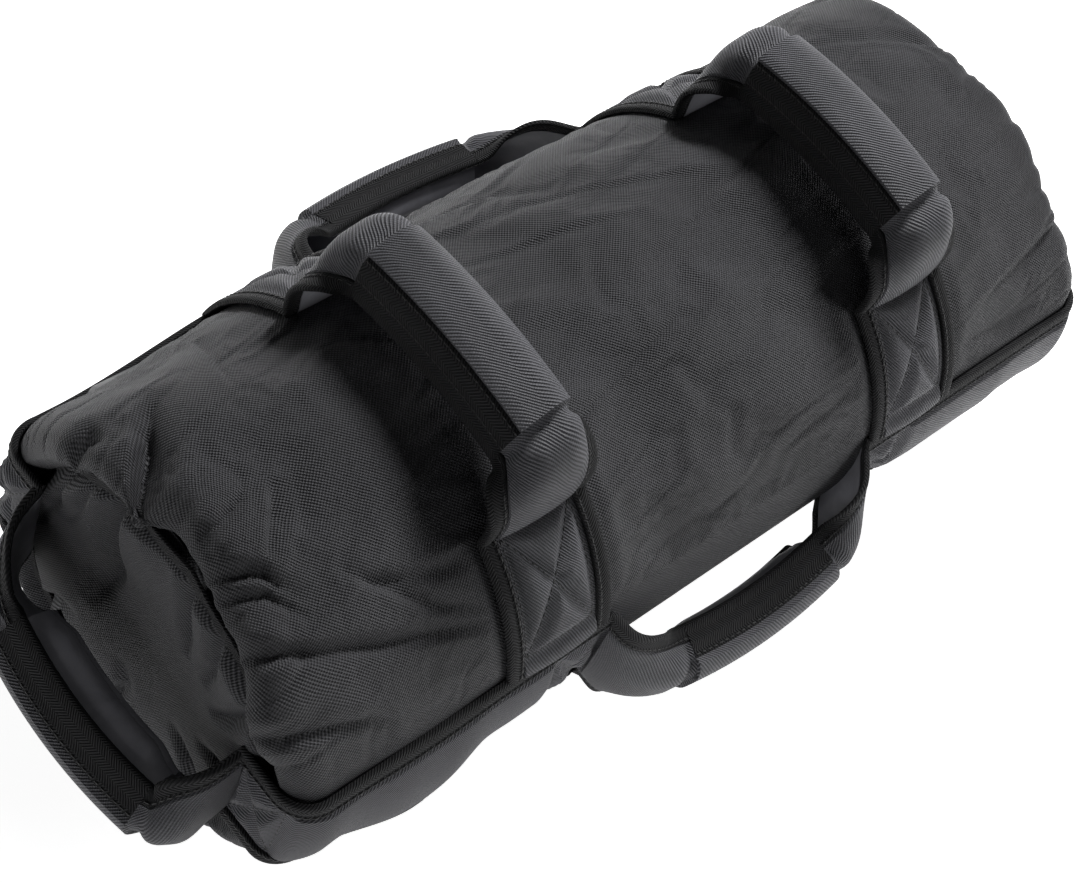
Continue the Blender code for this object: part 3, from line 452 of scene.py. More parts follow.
def band_row(end, side, height):
    x = ENDS[end] * BAND_SPACING / 2

    def row(share, lift):
        y, z = outline(np.full_like(share, around(side, height)), FIT_GAP + lift)
        return np.stack([x + share * HALF_STRAP, y, z], 1)
    return row


def bulge(x):
    """How far the sand pushes out the near side towards the left end."""
    depth, start, length = BULGE
    return depth * np.sin(math.pi * np.clip((x - start) / length, 0.0, 1.0)) ** 2


def hollow(x):
    """How far the far side falls in towards the left end."""
    depth, start, length = HOLLOW
    return depth * smooth_step((start - x) / length)


def girth_row(end, side, stretch, part):
    """A row of the girth strap, part of the way along its side, corner or end stretch."""
    settle = {"side": 0.0, "corner": part, "end": 1.0}[stretch]
    bend = math.pi / 2 * settle
    turn_start = HALF_LENGTH - RIM_RADIUS

    def row(share, lift):
        y, z = outline(around(side, GIRTH_TOP - HALF_STRAP + share * HALF_STRAP), 0.0)
        middle = outline(around(side, GIRTH_TOP - HALF_STRAP), 0.0)[1]
        z = z + (middle + share * HALF_STRAP - z) * settle
        y = y + (SIDES[side] * HALF_WIDTH - y) * settle
        radius = RIM_RADIUS + FIT_GAP + lift
        x = turn_start + radius * math.sin(bend)
        out_y = y + SIDES[side] * (radius * math.cos(bend) - RIM_RADIUS)
        if stretch == "side":
            x = np.full_like(y, SIDE_HANDLE_CHORD / 2 + (turn_start - SIDE_HANDLE_CHORD / 2) * part)
            if side == "near":
                out_y = out_y + SIDES[side] * bulge(ENDS[end] * x) * np.clip((1 - share) / 2, 0.0, 1.0)
        if stretch == "end":
            start = HALF_WIDTH - RIM_RADIUS
            out_y = np.full_like(y, SIDES[side] * (start + (END_HANDLE_CHORD / 2 - start) * part))
        if side == "far":
            ease = 1 - float(smooth_step(part)) if stretch == "end" else 1.0
            out_y = out_y - SIDES[side] * hollow(ENDS[end] * x) * ease
        return np.stack([ENDS[end] * x, out_y, z], 1)
    return row


def make_handles():
    """The six handles, with the flares of each as (label, flip, root row, root normal)."""
    found = {}
    y, z = outline(BAND_TOP, FIT_GAP)
    for end in ENDS:
        middle = (ENDS[end] * BAND_SPACING / 2, 0.0, z)
        top = Handle("top_handle_" + end, middle, (0, 1, 0), (0, 0, 1), (1, 0, 0), abs(y), *TOP_RISE,
                     roll=TOP_ROLL, open_side=-1)
        flares = []
        for side, sign in SIDES.items():
            root = band_row(end, side, BAND_TOP)
            normal = (root(np.zeros(1), np.full(1, 0.001)) - root(np.zeros(1), np.zeros(1)))[0]
            flares.append((side, -sign, root, normal / np.linalg.norm(normal)))
        found[top.name] = (top, flares)
        z_end = girth_row(end, "near", "end", 1.0)(np.zeros(1), np.zeros(1))[0, 2]
        middle = (ENDS[end] * (HALF_LENGTH + FIT_GAP), 0.0, z_end)
        handle = Handle("end_handle_" + end, middle, (0, 1, 0), (ENDS[end], 0, 0), (0, 0, 1),
                        END_HANDLE_CHORD / 2, *END_RISE, *END_LIE[end])
        found[handle.name] = (handle, [(side, -sign, girth_row(end, side, "end", 1.0), handle.out)
                                       for side, sign in SIDES.items()])
    for side in SIDES:
        y_side, z_side = outline(around(side, GIRTH_TOP - HALF_STRAP), FIT_GAP)
        handle = Handle("side_handle_" + side, (0.0, y_side, z_side), (1, 0, 0), (0, SIDES[side], 0),
                        (0, 0, 1), SIDE_HANDLE_CHORD / 2, *SIDE_RISE, SIDE_DROOP[side], SIDE_ROLL,
                        open_side=0, shift=SIDE_SHIFT[side])
        found[handle.name] = (handle, [(end, -sign, girth_row(end, side, "side", 0.0), handle.out)
                                       for end, sign in ENDS.items()])
    return found


HANDLES = make_handles()


class Run:
    """Rows along a strap with the distance of each, and points between them."""

    def __init__(self, rows):
        self.rows = rows
        self.middle = np.array([row(np.zeros(1), np.zeros(1))[0] for row in rows])
        self.distance = running(self.middle)
        self.length = self.distance[-1]

    def point(self, distance, share, lift):
        """World points at distances along the strap."""
        distance = np.clip(distance, 0.0, self.length)
        low = np.clip(np.searchsorted(self.distance, distance, side="right") - 1, 0, len(self.rows) - 2)
        part = (distance - self.distance[low]) / (self.distance[low + 1] - self.distance[low])
        points = np.empty((len(distance), 3))
        for place, row in enumerate(low):
            a = self.rows[row](share[place:place + 1], lift[place:place + 1])[0]
            b = self.rows[row + 1](share[place:place + 1], lift[place:place + 1])[0]
            points[place] = a + (b - a) * part[place]
        return points


def sweep(name, run, section):
    """A closed strap along a run. section(row) gives the places across it and their lifts."""
    points, uv = [], []
    for number, row in enumerate(run.rows):
        share, lift = section(number)
        loop = row(share, lift)
        across = running(np.stack([share * HALF_STRAP, lift], 1))
        points.append(loop)
        uv.append(np.stack([across, np.full_like(across, run.distance[number])], 1))
    return cloth_grid(name, np.array(points), np.array(uv), filled=True)


def crowned(padding, share):
    """Height of a strap's outer face at shares across it, where padding lifts its middle."""
    return WEB_THICKNESS + padding * np.clip(1 - (share / WEB_EDGE) ** 2, 0.0, 1.0) ** 0.7


def dented(height, dent):
    """A height of padded web pressed down by a share of what can give."""
    return height - dent * np.clip(height - PRESSED_WEB, 0.0, None)


def web_section(crown, rise, quilt, columns=41):
    """The webbing's section: a flat inner face, a crowned outer face and rounded edges.

    crown is how far padding lifts its middle, and quilt a function of row and share that presses it.
    """
    share = np.linspace(-WEB_EDGE, WEB_EDGE, columns)
    lows = np.linspace(WEB_EDGE, -WEB_EDGE, columns // 2)
    ends = np.array([WEB_EDGE + 0.035, WEB_EDGE + 0.035])

    def section(row):
        lift = dented(crowned(crown(row), share), quilt(row, share))
        across = np.concatenate([share, ends, lows, -ends, share[:1]])
        heights = np.concatenate([lift, [WEB_THICKNESS * 0.75, WEB_THICKNESS * 0.25],
                                  np.full(len(lows), rise), [WEB_THICKNESS * 0.25, WEB_THICKNESS * 0.75],
                                  lift[:1]])
        return across, heights
    return section


def tape_section(sign, rise, under, width):
    """A binding tape folded over one edge of a strap, a little raised along its sewn edge."""
    inner = 1.0 - width / HALF_STRAP
    upper = np.array([0.0, 0.0, 0.05, 0.16, 0.28, 0.45, 0.62, 0.78, 0.90, 0.965])
    share = np.concatenate([inner + upper * (1.02 - inner), [1.015, 1.02, 1.01, 0.985, 0.95, 0.88],
                            [inner + 0.02, inner, inner]])
    top = WEB_THICKNESS + rise
    lift = np.concatenate([[WEB_THICKNESS * 0.6, top - 0.0006, top - 0.0001, top - 0.0001, top - 0.0005, top,
                            top + 0.0002, top, top - 0.0003, top - 0.0009],
                           [top - 0.0018, WEB_THICKNESS / 2, 0.0008 + under, under + 0.0002, under, under,
                            under + 0.0001, under + 0.0006, WEB_THICKNESS * 0.6]])
    return lambda row: (sign * share, lift)


# Materials

def add(tree, kind, settings=(), links=()):
    """Adds a node, with its settings by attribute or socket and its links by socket."""
    node = tree.nodes.new(kind)
    for key, value in dict(settings).items():
        if isinstance(key, str) and hasattr(node, key):
            setattr(node, key, value)
        else:
            node.inputs[key].default_value = value
    for key, source in dict(links).items():
        tree.links.new(source, node.inputs[key])
    return node


def new_material(name, base, roughness, metallic=0.0, **sockets):
    material = bpy.data.materials.new(name)
    material.use_nodes = True
    shader = material.node_tree.nodes["Principled BSDF"]
    shader.inputs["Base Color"].default_value = (*base, 1.0)
    shader.inputs["Roughness"].default_value = roughness
    shader.inputs["Metallic"].default_value = metallic
    for key, value in sockets.items():
        shader.inputs[key.replace("_", " ")].default_value = value
    material.diffuse_color = (*base, 1.0)
    return material, material.node_tree, shader


def computed(tree, kind, operation, inputs):
    """A node that computes with inputs by socket, each another node's output or a value."""
    links = {key: value for key, value in inputs.items() if hasattr(value, "is_linked")}
    settings = [(key, value) for key, value in inputs.items() if key not in links]
    return add(tree, kind, [("operation", operation), *settings], links).outputs[0]


def maths(tree, operation, *inputs):
    return computed(tree, "ShaderNodeMath", operation, dict(enumerate(inputs)))


def wave(tree, value, turn):
    return maths(tree, "SINE", maths(tree, "MULTIPLY", value, turn))


def ranged(tree, source, source_range, result_range):
    """A source's value carried from one range to another."""
    limits = dict(enumerate((*source_range, *result_range), start=1))
    return add(tree, "ShaderNodeMapRange", limits, {0: source}).outputs[0]


def noise(tree, scale, **settings):
    """A noise over the object, at a scale in cycles a metre."""
    where = add(tree, "ShaderNodeTexCoord").outputs["Object"]
    return add(tree, "ShaderNodeTexNoise", {"Scale": scale, **settings}, {"Vector": where}).outputs["Fac"]


def finish_surface(tree, shader, colour, shade, height, depth, strength=1.0, roughness=None):
    """Scales a shader's colour by a shade and gives it relief from a height, and a roughness if given."""
    tint = computed(tree, "ShaderNodeVectorMath", "SCALE", {0: colour, "Scale": shade})
    bump = add(tree, "ShaderNodeBump", {"Distance": depth, "Strength": strength}, {"Height": height})
    tree.links.new(tint, shader.inputs["Base Color"])
    tree.links.new(bump.outputs[0], shader.inputs["Normal"])
    if roughness:
        tree.links.new(roughness, shader.inputs["Roughness"])


def finish_weave(tree, shader, height, colour, gap, depth, roughness):
    """Colours a weave from its yarns to its gaps, which are painted darker as shade, varies it over the cloth
    and gives it relief.
    """
    slubs = noise(tree, 420.0, Detail=2.0)
    level = maths(tree, "ADD", height, maths(tree, "MULTIPLY", slubs, 0.35))
    # The gaps' colour is the yarns' colour darkened by the gap share: painted shade between the yarns, while
    # the yarns keep the cloth's own colour
    low = tuple(c * gap for c in colour)
    gap_shaded_weave = add(tree, "ShaderNodeMix", [("data_type", "RGBA"), (6, (*low, 1.0)), (7, (*colour, 1.0))],
               {0: level})
    wear = ranged(tree, noise(tree, 14.0, Detail=4.0, Roughness=0.6), (0.3, 0.7), (0.82, 1.15))
    rough = ranged(tree, height, (0.0, 1.0), (roughness + 0.12, roughness - 0.05))
    finish_surface(tree, shader, gap_shaded_weave.outputs[2], wear, level, depth, roughness=rough)


def weave_coordinates(tree, pitch):
    """The UV map, in metres, counted in yarns."""
    split = add(tree, "ShaderNodeSeparateXYZ", (), {0: add(tree, "ShaderNodeUVMap").outputs[0]})
    return [maths(tree, "MULTIPLY", split.outputs[axis], 1.0 / pitch) for axis in (0, 1)]


def oxford_cloth(colours, sizes):
    # Polyester oxford, woven from thick textured yarns and coated behind: matt black with a grid of
    # small raised crossings, which catch the light one by one
    material, tree, shader = new_material("woven_oxford_cloth", colours.cloth, 0.6, Sheen_Weight=0.09,
                                          Sheen_Roughness=0.5, Specular_IOR_Level=0.3)
    u, v = weave_coordinates(tree, sizes.weave_pitch)
    crossing = maths(tree, "MULTIPLY", wave(tree, u, math.pi), wave(tree, v, math.pi))
    height = maths(tree, "MULTIPLY_ADD", crossing, 0.62, 0.45)
    # The gaps are painted at 0.02 of the yarns' colour, as shade between the yarns
    finish_weave(tree, shader, height, tuple(colours.cloth), 0.02, 0.0005, 0.56)
    return material


def rib_webbing(colours, sizes):
    # Polyester webbing in a coarse twill: ribs run slantwise across the strap, greyer than the shell
    material, tree, shader = new_material("twill_webbing", colours.webbing, 0.58, Sheen_Weight=0.05,
                                          Sheen_Roughness=0.5, Specular_IOR_Level=0.3)
    u, v = weave_coordinates(tree, sizes.rib_pitch)
    rib = wave(tree, maths(tree, "ADD", u, maths(tree, "MULTIPLY", v, 0.8)), 2 * math.pi)
    cross = wave(tree, maths(tree, "SUBTRACT", u, v), 2.2 * math.pi)
    height = maths(tree, "ADD", maths(tree, "MULTIPLY_ADD", rib, 0.44, 0.5),
                   maths(tree, "MULTIPLY", cross, 0.10))
    # The gaps are painted at 0.10 of the ribs' colour, as shade between the ribs
    finish_weave(tree, shader, height, tuple(colours.webbing), 0.10, 0.0005, 0.55)
    return material


def herringbone_tape(name, colour, sizes):
    # Cotton and polyester tape, woven in a herringbone: the slant turns at its middle
    material, tree, shader = new_material(name, colour, 0.75, Specular_IOR_Level=0.25)
    u, v = weave_coordinates(tree, sizes.tape_pitch)
    fold = maths(tree, "PINGPONG", u, 2.6)
    rib = wave(tree, maths(tree, "ADD", v, maths(tree, "MULTIPLY", fold, 0.9)), 2 * math.pi)
    height = maths(tree, "MULTIPLY_ADD", rib, 0.5, 0.5)
    # The gaps are painted at 0.10 of the tape's colour, as shade between its yarns
    finish_weave(tree, shader, height, tuple(colour), 0.10, 0.0006, 0.70)
    return material


def smooth_lining(colours):
    # Nylon taffeta, calendered: close and smooth, with a soft sheen and faint creases, whose ridges are painted
    # lighter and whose hollows are painted darker as shade
    material, tree, shader = new_material("taffeta_lining", colours.lining, 0.5, Sheen_Weight=0.1,
                                          Specular_IOR_Level=0.4)
    creases = noise(tree, 60.0, Detail=3.0, Distortion=0.6)
    threads = maths(tree, "MULTIPLY", noise(tree, 900.0, Detail=1.0), 0.12)
    level = maths(tree, "ADD", creases, threads)
    # The creases' height also scales the colour from 0.75 to 1.15: painted shade in their hollows and painted
    # light on their ridges
    shade = ranged(tree, level, (0.3, 0.8), (0.75, 1.15))
    finish_surface(tree, shader, tuple(colours.lining), shade, level, 0.0008, strength=0.6)
    return material


def noisy_material(name, base, roughness, scale, contrast, depth, metallic=0.0):
    """A material whose tone, gloss and relief vary with one noise, at a scale in cycles a metre."""
    material, tree, shader = new_material(name, base, roughness, metallic)
    grain = noise(tree, scale, Detail=5.0, Roughness=0.62)
    shade = ranged(tree, grain, (0.3, 0.7), (1.0 - contrast, 1.0 + contrast))
    rough = ranged(tree, grain, (0.3, 0.7), (roughness - 0.08, min(roughness + 0.08, 1.0)))
    finish_surface(tree, shader, tuple(base), shade, grain, depth, roughness=rough)
    return material


# Materials of one noise, by what they are for: name, colour, roughness, scale, contrast, depth, metal
NOISY_MATERIALS = {
    # Bonded nylon thread: round, tight and slightly glossy
    "thread": ("bonded_thread", "thread", 0.42, 900.0, 0.2, 0.0001),
    # Moulded acetal: black, a little waxy, with a fine mould texture
    "zip_plastic": ("moulded_acetal", "zip", 0.36, 700.0, 0.08, 0.00004),
    # Zinc alloy, die-cast and black enamelled, rubbed a little along the pull
    "zip_metal": ("enamelled_zinc", "metal", 0.32, 300.0, 0.15, 0.00005, 0.85),
    # Polyester cloth coated with vinyl: smooth, dull and creased
    "inner": ("coated_inner_cloth", "inner", 0.5, 90.0, 0.15, 0.0008),
    # Nylon hook and loop: deep matt pile
    "pile": ("hook_and_loop_pile", "tape", 0.95, 1100.0, 0.5, 0.0009),
    # Washed quartz sand, grains of half a millimetre drawn at 1.5 mm so that they show
    "sand": ("quartz_sand", "sand", 0.9, 650.0, 0.35, 0.0012),
}


def material_set(scene):
    """The materials by the name of what they are for, made once."""
    colours, sizes = scene.sandbag_colours, scene.sandbag_sizes
    makers = {
        "cloth": ("woven_oxford_cloth", lambda name: oxford_cloth(colours, sizes)),
        "webbing": ("twill_webbing", lambda name: rib_webbing(colours, sizes)),
        "tape": ("herringbone_tape", lambda name: herringbone_tape(name, colours.tape, sizes)),
        "zip_tape": ("woven_zip_tape", lambda name: herringbone_tape(name, colours.zip, sizes)),
        "lining": ("taffeta_lining", lambda name: smooth_lining(colours)),
    }
    found = {key: bpy.data.materials.get(name) or make(name) for key, (name, make) in makers.items()}
    for key, (name, colour, *values) in NOISY_MATERIALS.items():
        found[key] = bpy.data.materials.get(name) or noisy_material(name, getattr(colours, colour), *values)
    return found


# Sewing

def stitch_points():
    """One stitch, modelled once: a round thread that dips at both ends, along X from 0 to 1."""
    deselect()
    bpy.ops.mesh.primitive_uv_sphere_add(segments=6, ring_count=6, radius=0.5)
    ball = bpy.context.object
    edit_all(ball, (bpy.ops.transform.rotate,
                    {"value": math.pi / 2, "orient_axis": "Y", "center_override": (0, 0, 0)}))
    points = np.array([v.co for v in ball.data.vertices])
    faces = [tuple(p.vertices) for p in ball.data.polygons]
    bpy.data.objects.remove(ball, do_unlink=True)
    blunt = np.sign(points[:, 0]) * np.abs(points[:, 0] * 2) ** 0.7 / 2
    points[:, 0] = blunt + 0.5
    return points, faces


STITCH = []


def between(at, distance, values):
    """Rows of values at places along a line, from those at its own distances."""
    return np.stack([np.interp(at, distance, values[:, axis]) for axis in range(values.shape[1])], 1)


def sew(name, lines, sizes, material):
    """Stitches along lines of points on the cloth, each line with its outward normals."""
    if not STITCH:
        STITCH.append(stitch_points())
    pattern, pattern_faces = STITCH[0]
    points, faces = [], []
    pitch, thread = sizes.stitch_length, sizes.thread
    for line, normals in lines:
        distance = running(line)
        count = max(int(distance[-1] / pitch), 1)
        starts = np.arange(count) * distance[-1] / count
        ends = starts + distance[-1] / count * 0.78
        for start, end, out in zip(between(starts, distance, line), between(ends, distance, line),
                                   between(starts, distance, normals)):
            along = end - start
            out = out / np.linalg.norm(out)
            side = np.cross(along / np.linalg.norm(along), out)
            arch = (1 - (2 * pattern[:, :1] - 1) ** 2) * thread * 0.35
            first = len(points) * len(pattern)
            points.append(start + pattern[:, :1] * along + pattern[:, 1:2] * side * thread
                          + (pattern[:, 2:] * thread * 0.8 + arch) * out)
            faces += [tuple(v + first for v in face) for face in pattern_faces]
    mesh = bpy.data.meshes.new(name)
    mesh.from_pydata(np.concatenate(points).tolist(), [], faces)
    mesh.shade_smooth()
    piece = bpy.data.objects.new(name, mesh)
    bpy.context.scene.collection.objects.link(piece)
    piece.data.materials.append(material)
    return piece


def strap_line(run, path, lift, step=0.003):
    """A sewn line on a strap through (distance along, share across) places, with its normals."""
    path = np.array(path, float)
    distance = running(path * [1.0, HALF_STRAP])
    at = np.linspace(0.0, distance[-1], max(int(distance[-1] / step), 2) + 1)
    along, share = between(at, distance, path).T
    lifts = lift(along, share)
    low = run.point(along, share, lifts)
    high = run.point(along, share, lifts + 0.002)
    return low, high - low


def box_paths(start, end):
    """A sewn box with a cross, between two distances along a strap."""
    corners = [(start, -BOX_REACH), (start, BOX_REACH), (end, -BOX_REACH), (end, BOX_REACH)]
    return [[corners[a], corners[b]] for a, b in ((0, 1), (2, 3), (0, 2), (1, 3), (0, 3), (1, 2))]


def pressed_by(paths):
    """How far sewn lines press padding down, from 0 to 1, at distances along and shares across."""
    def press(along, share):
        place = np.stack(np.broadcast_arrays(along, share * HALF_STRAP), -1)
        best = np.full(place.shape[:-1], 1.0)
        for path in paths:
            for (a0, a1), (b0, b1) in zip(path[:-1], path[1:]):
                a, b = np.array([a0, a1 * HALF_STRAP]), np.array([b0, b1 * HALF_STRAP])
                part = np.clip(((place - a) @ (b - a)) / max((b - a) @ (b - a), 1e-12), 0.0, 1.0)
                gap = np.linalg.norm(place - (a + part[..., None] * (b - a)), axis=-1)
                best = np.minimum(best, gap / DENT_WIDTH)
        return np.exp(-np.clip(best, 0.0, 1.0) ** 2 * 3.0) * (best < 1.0)
    return press


def make_strap(name, run, crown, sewn_down, paths, scene, body, nodes, blend=None,
               bindings=(BINDING_WIDTH, BINDING_WIDTH)):
    """A strap with its two binding tapes and its sewn lines."""
    sizes, materials = scene.sandbag_sizes, material_set(scene)
    under = 0.00005 if sewn_down else -0.0009
    top = WEB_THICKNESS + sizes.binding_rise
    press = pressed_by(paths)
    edges = [1.0 - width / HALF_STRAP for width in bindings]

    def quilt(row, share):
        past_edge = np.where(share < 0, -share - edges[0], share - edges[1])
        covered = smooth_step((past_edge + 0.02) / 0.04)
        return np.maximum(TAPE_DENT * covered, STITCH_DENT * press(run.distance[row], share))

    def lift(along, share):
        rows = np.interp(along, run.distance, np.arange(len(run.rows)))
        padding = np.array([crown(int(round(row))) for row in rows])
        height = dented(crowned(padding, share), STITCH_DENT * press(along, share))
        on_tape = np.where(share < 0, -share > edges[0], share > edges[1])
        return np.where(on_tape, top, height) - 0.0001
    web = sweep(name, run, web_section(crown, under + 0.0001, quilt))
    pieces = [dress(web, materials["webbing"], None, nodes)]
    lines = []
    for label, sign, width in (("low", -1, bindings[0]), ("high", 1, bindings[1])):
        tape = sweep(name + "_binding_" + label, run, tape_section(sign, sizes.binding_rise, under, width))
        pieces.append(dress(tape, materials["tape"]))
        seam = sign * (1.0 + TAPE_SEAM - width / HALF_STRAP)
        lines.append(strap_line(run, [(0.0, seam), (run.length, seam)], lift))
    lines += [strap_line(run, path, lift) for path in paths]
    seams = sew(name + "_stitches", lines, sizes, materials["thread"])
    pieces.append(dress(seams, materials["thread"]))
    for piece in pieces:
        if blend:
            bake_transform(piece)
        else:
            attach(piece, body)
    return pieces


# The shell

# Folds of the shell, pressed in with straight flanks: places (x, distance round) in metres, depth, and
# the width of the flank on the right and on the left of the way it runs
SHELL_FOLDS = (
    (((-0.247, 0.260), (-0.262, 0.243), (-0.275, 0.226), (-0.300, 0.200)), 0.0125, 0.0085, 0.0220),
    (((-0.284, 0.236), (-0.287, 0.254), (-0.302, 0.258)), 0.0060, 0.0050, 0.0090),
    (((-0.255, 0.118), (-0.274, 0.142), (-0.298, 0.154)), 0.0046, 0.0090, 0.0042),
    (((-0.258, 0.110), (-0.277, 0.133), (-0.298, 0.142)), 0.0030, 0.0070, 0.0040),
    (((-0.255, 0.092), (-0.280, 0.105), (-0.299, 0.112)), 0.0050, 0.0100, 0.0042),
    (((-0.241, 0.178), (-0.251, 0.163), (-0.268, 0.148)), 0.0030, 0.0045, 0.0100),
    (((-0.230, 0.190), (-0.252, 0.178), (-0.290, 0.172)), 0.0028, 0.0050, 0.0100),
    (((-0.205, 0.288), (-0.213, 0.258), (-0.224, 0.230)), 0.0022, 0.0045, 0.0100),
    (((-0.176, 0.066), (-0.235, 0.085), (-0.275, 0.103)), 0.0028, 0.0100, 0.0050),
    (((-0.176, 0.073), (-0.205, 0.090), (-0.241, 0.130)), 0.0026, 0.0100, 0.0050),
    (((-0.174, 0.098), (-0.199, 0.103), (-0.236, 0.116)), 0.0020, 0.0090, 0.0050),
    (((-0.236, 0.046), (-0.266, 0.062), (-0.298, 0.074)), 0.0040, 0.0100, 0.0060),
    (((-0.090, 0.268), (-0.019, 0.254), (0.080, 0.215)), 0.0015, 0.0100, 0.0035),
    (((-0.080, 0.236), (-0.020, 0.223), (0.030, 0.207)), 0.0011, 0.0090, 0.0035),
    (((-0.075, 0.292), (-0.036, 0.288), (-0.005, 0.274)), 0.0013, 0.0090, 0.0035),
    (((0.176, 0.060), (0.217, 0.071), (0.262, 0.080), (0.299, 0.086)), 0.0046, 0.0140, 0.0060),
    (((0.176, 0.050), (0.216, 0.044), (0.265, 0.041)), 0.0028, 0.0080, 0.0100),
    (((0.199, 0.147), (0.221, 0.141), (0.249, 0.142), (0.299, 0.152)), 0.0040, 0.0060, 0.0130),
    (((0.226, 0.112), (0.256, 0.110), (0.299, 0.106)), 0.0036, 0.0060, 0.0120),
    (((0.232, 0.186), (0.262, 0.180), (0.299, 0.192)), 0.0032, 0.0060, 0.0120),
    (((0.212, 0.264), (0.246, 0.239), (0.299, 0.206)), 0.0046, 0.0050, 0.0120),
    (((0.250, 0.300), (0.276, 0.292), (0.299, 0.296)), 0.0040, 0.0080, 0.0100),
    (((-0.228, 0.600), (-0.262, 0.604), (-0.299, 0.620)), 0.0036, 0.0060, 0.0100),
    (((0.220, 0.580), (0.262, 0.572), (0.299, 0.560)), 0.0036, 0.0060, 0.0100),
    (((-0.240, 0.500), (-0.268, 0.512), (-0.299, 0.520)), 0.0036, 0.0060, 0.0100),
    (((0.236, 0.655), (0.270, 0.650), (0.299, 0.660)), 0.0036, 0.0060, 0.0100),
)

# Folds of an end panel: places (y, z), depth and the widths of the flanks
PANEL_FOLDS = (
    (((0.034, 0.186), (0.035, 0.144), (0.031, 0.118), (0.036, 0.076)), 0.0070, 0.0090, 0.0150),
    (((0.084, 0.158), (0.086, 0.128), (0.090, 0.104)), 0.0020, 0.0040, 0.0065),
    (((0.069, 0.172), (0.069, 0.135), (0.078, 0.100)), 0.0026, 0.0040, 0.0070),
    (((0.050, 0.182), (0.055, 0.144), (0.061, 0.124)), 0.0023, 0.0040, 0.0060),
    (((-0.018, 0.184), (-0.022, 0.154), (-0.028, 0.126)), 0.0046, 0.0070, 0.0100),
    (((-0.044, 0.176), (-0.047, 0.148), (-0.044, 0.126)), 0.0046, 0.0070, 0.0100),
    (((-0.076, 0.150), (-0.066, 0.128), (-0.052, 0.112)), 0.0040, 0.0060, 0.0100),
    (((-0.096, 0.100), (-0.076, 0.086), (-0.050, 0.080)), 0.0040, 0.0060, 0.0100),
    (((-0.070, 0.040), (-0.052, 0.058), (-0.030, 0.066)), 0.0036, 0.0060, 0.0100),
    (((0.070, 0.036), (0.056, 0.056), (0.040, 0.062)), 0.0036, 0.0060, 0.0100),
    (((0.006, 0.026), (0.002, 0.048), (0.010, 0.066)), 0.0036, 0.0060, 0.0100),
)

# How far the lip of the left rim, and of the right one, stands past the skin's end, by distance round
RIM_LIP = ((0.032, 0.0), (0.050, 0.002), (0.064, 0.008), (0.084, 0.009), (0.098, 0.003), (0.112, -0.002),
           (0.130, -0.003), (0.152, -0.006), (0.184, -0.008), (0.203, -0.001), (0.223, 0.001), (0.250, 0.001),
           (0.268, 0.004), (0.300, 0.002), (0.340, 0.0))
RIGHT_LIP = ((0.040, 0.0), (0.060, -0.005), (0.080, -0.009), (0.100, -0.014), (0.120, -0.013), (0.150, -0.009),
             (0.180, -0.011), (0.220, -0.009), (0.250, -0.005), (0.280, 0.0), (0.320, 0.0))


def beside(distance, line, reach, fade):
    """1 within reach of a line along the bag, falling to 0 over the fade past it."""
    return 1 - smooth_step((away_from(distance, line) - reach) / fade)


def strap_cover(x, distance):
    """1 under the sewn straps and the zip, falling to 0 a little beside them."""
    cover = np.zeros(np.broadcast(x, distance).shape)
    for side in SIDES:
        middle = around(side, GIRTH_TOP - HALF_STRAP)
        cover = np.maximum(cover, beside(distance, middle, HALF_STRAP, COVER_FADE))
        height = distance if side == "near" else FAR_LINE - distance
        height = np.mod(height + GIRTH_LINE / 2, GIRTH_LINE) - GIRTH_LINE / 2
        for sign in ENDS.values():
            aside = smooth_step((np.abs(x - sign * BAND_SPACING / 2) - HALF_STRAP) / COVER_FADE)
            above = smooth_step((height - BAND_TOP) / COVER_FADE)
            below = smooth_step((GIRTH_TOP - 0.06 - height) / COVER_FADE)
            cover = np.maximum(cover, (1 - aside) * (1 - above) * (1 - below))
    zipped = beside(distance, ZIP_LINE, 0.018, 0.015)
    return np.maximum(cover, zipped * (np.abs(x) < ZIP_LENGTH / 2 + 0.03))


def fold_lift(folds, first, second, rim=None):
    """How far the drawn folds press the cloth in.

    A shell's fold deepens where it runs past the rim, and a panel's starts there and runs out.
    """
    total = np.zeros(np.broadcast(first, second).shape)
    for path, depth, right, left in folds:
        best = np.full(total.shape, 9.0)
        side, fade = np.zeros(total.shape), np.zeros(total.shape)
        path = np.array(path)
        length = running(path)
        for number, (a, b) in enumerate(zip(path[:-1], path[1:])):
            off_first, off_second = first - a[0], second - a[1]
            step = b - a
            part = np.clip((off_first * step[0] + off_second * step[1]) / (step @ step), 0.0, 1.0)
            gap = np.hypot(off_first - part * step[0], off_second - part * step[1])
            turn = step[0] * off_second - step[1] * off_first
            passed = (length[number] + part * (length[number + 1] - length[number])) / length[-1]
            nearer = gap < best
            best = np.where(nearer, gap, best)
            side = np.where(nearer, turn, side)
            fade = np.where(nearer, passed, fade)
        strength = 2.2 * (1 - np.clip(fade, 0.0, 1.0) ** 2)
        if rim is not None:
            swell = np.clip(np.sin(math.pi * np.clip(fade, 0, 1)), 0, 1) ** 0.6
            strength = smooth_step(fade * 1.3) if abs(path[-1][0]) > rim else swell
        width = np.where(side > 0, left, right)
        total -= depth * strength * np.clip(1 - best / width, 0.0, 1.0) ** 1.5
    return total


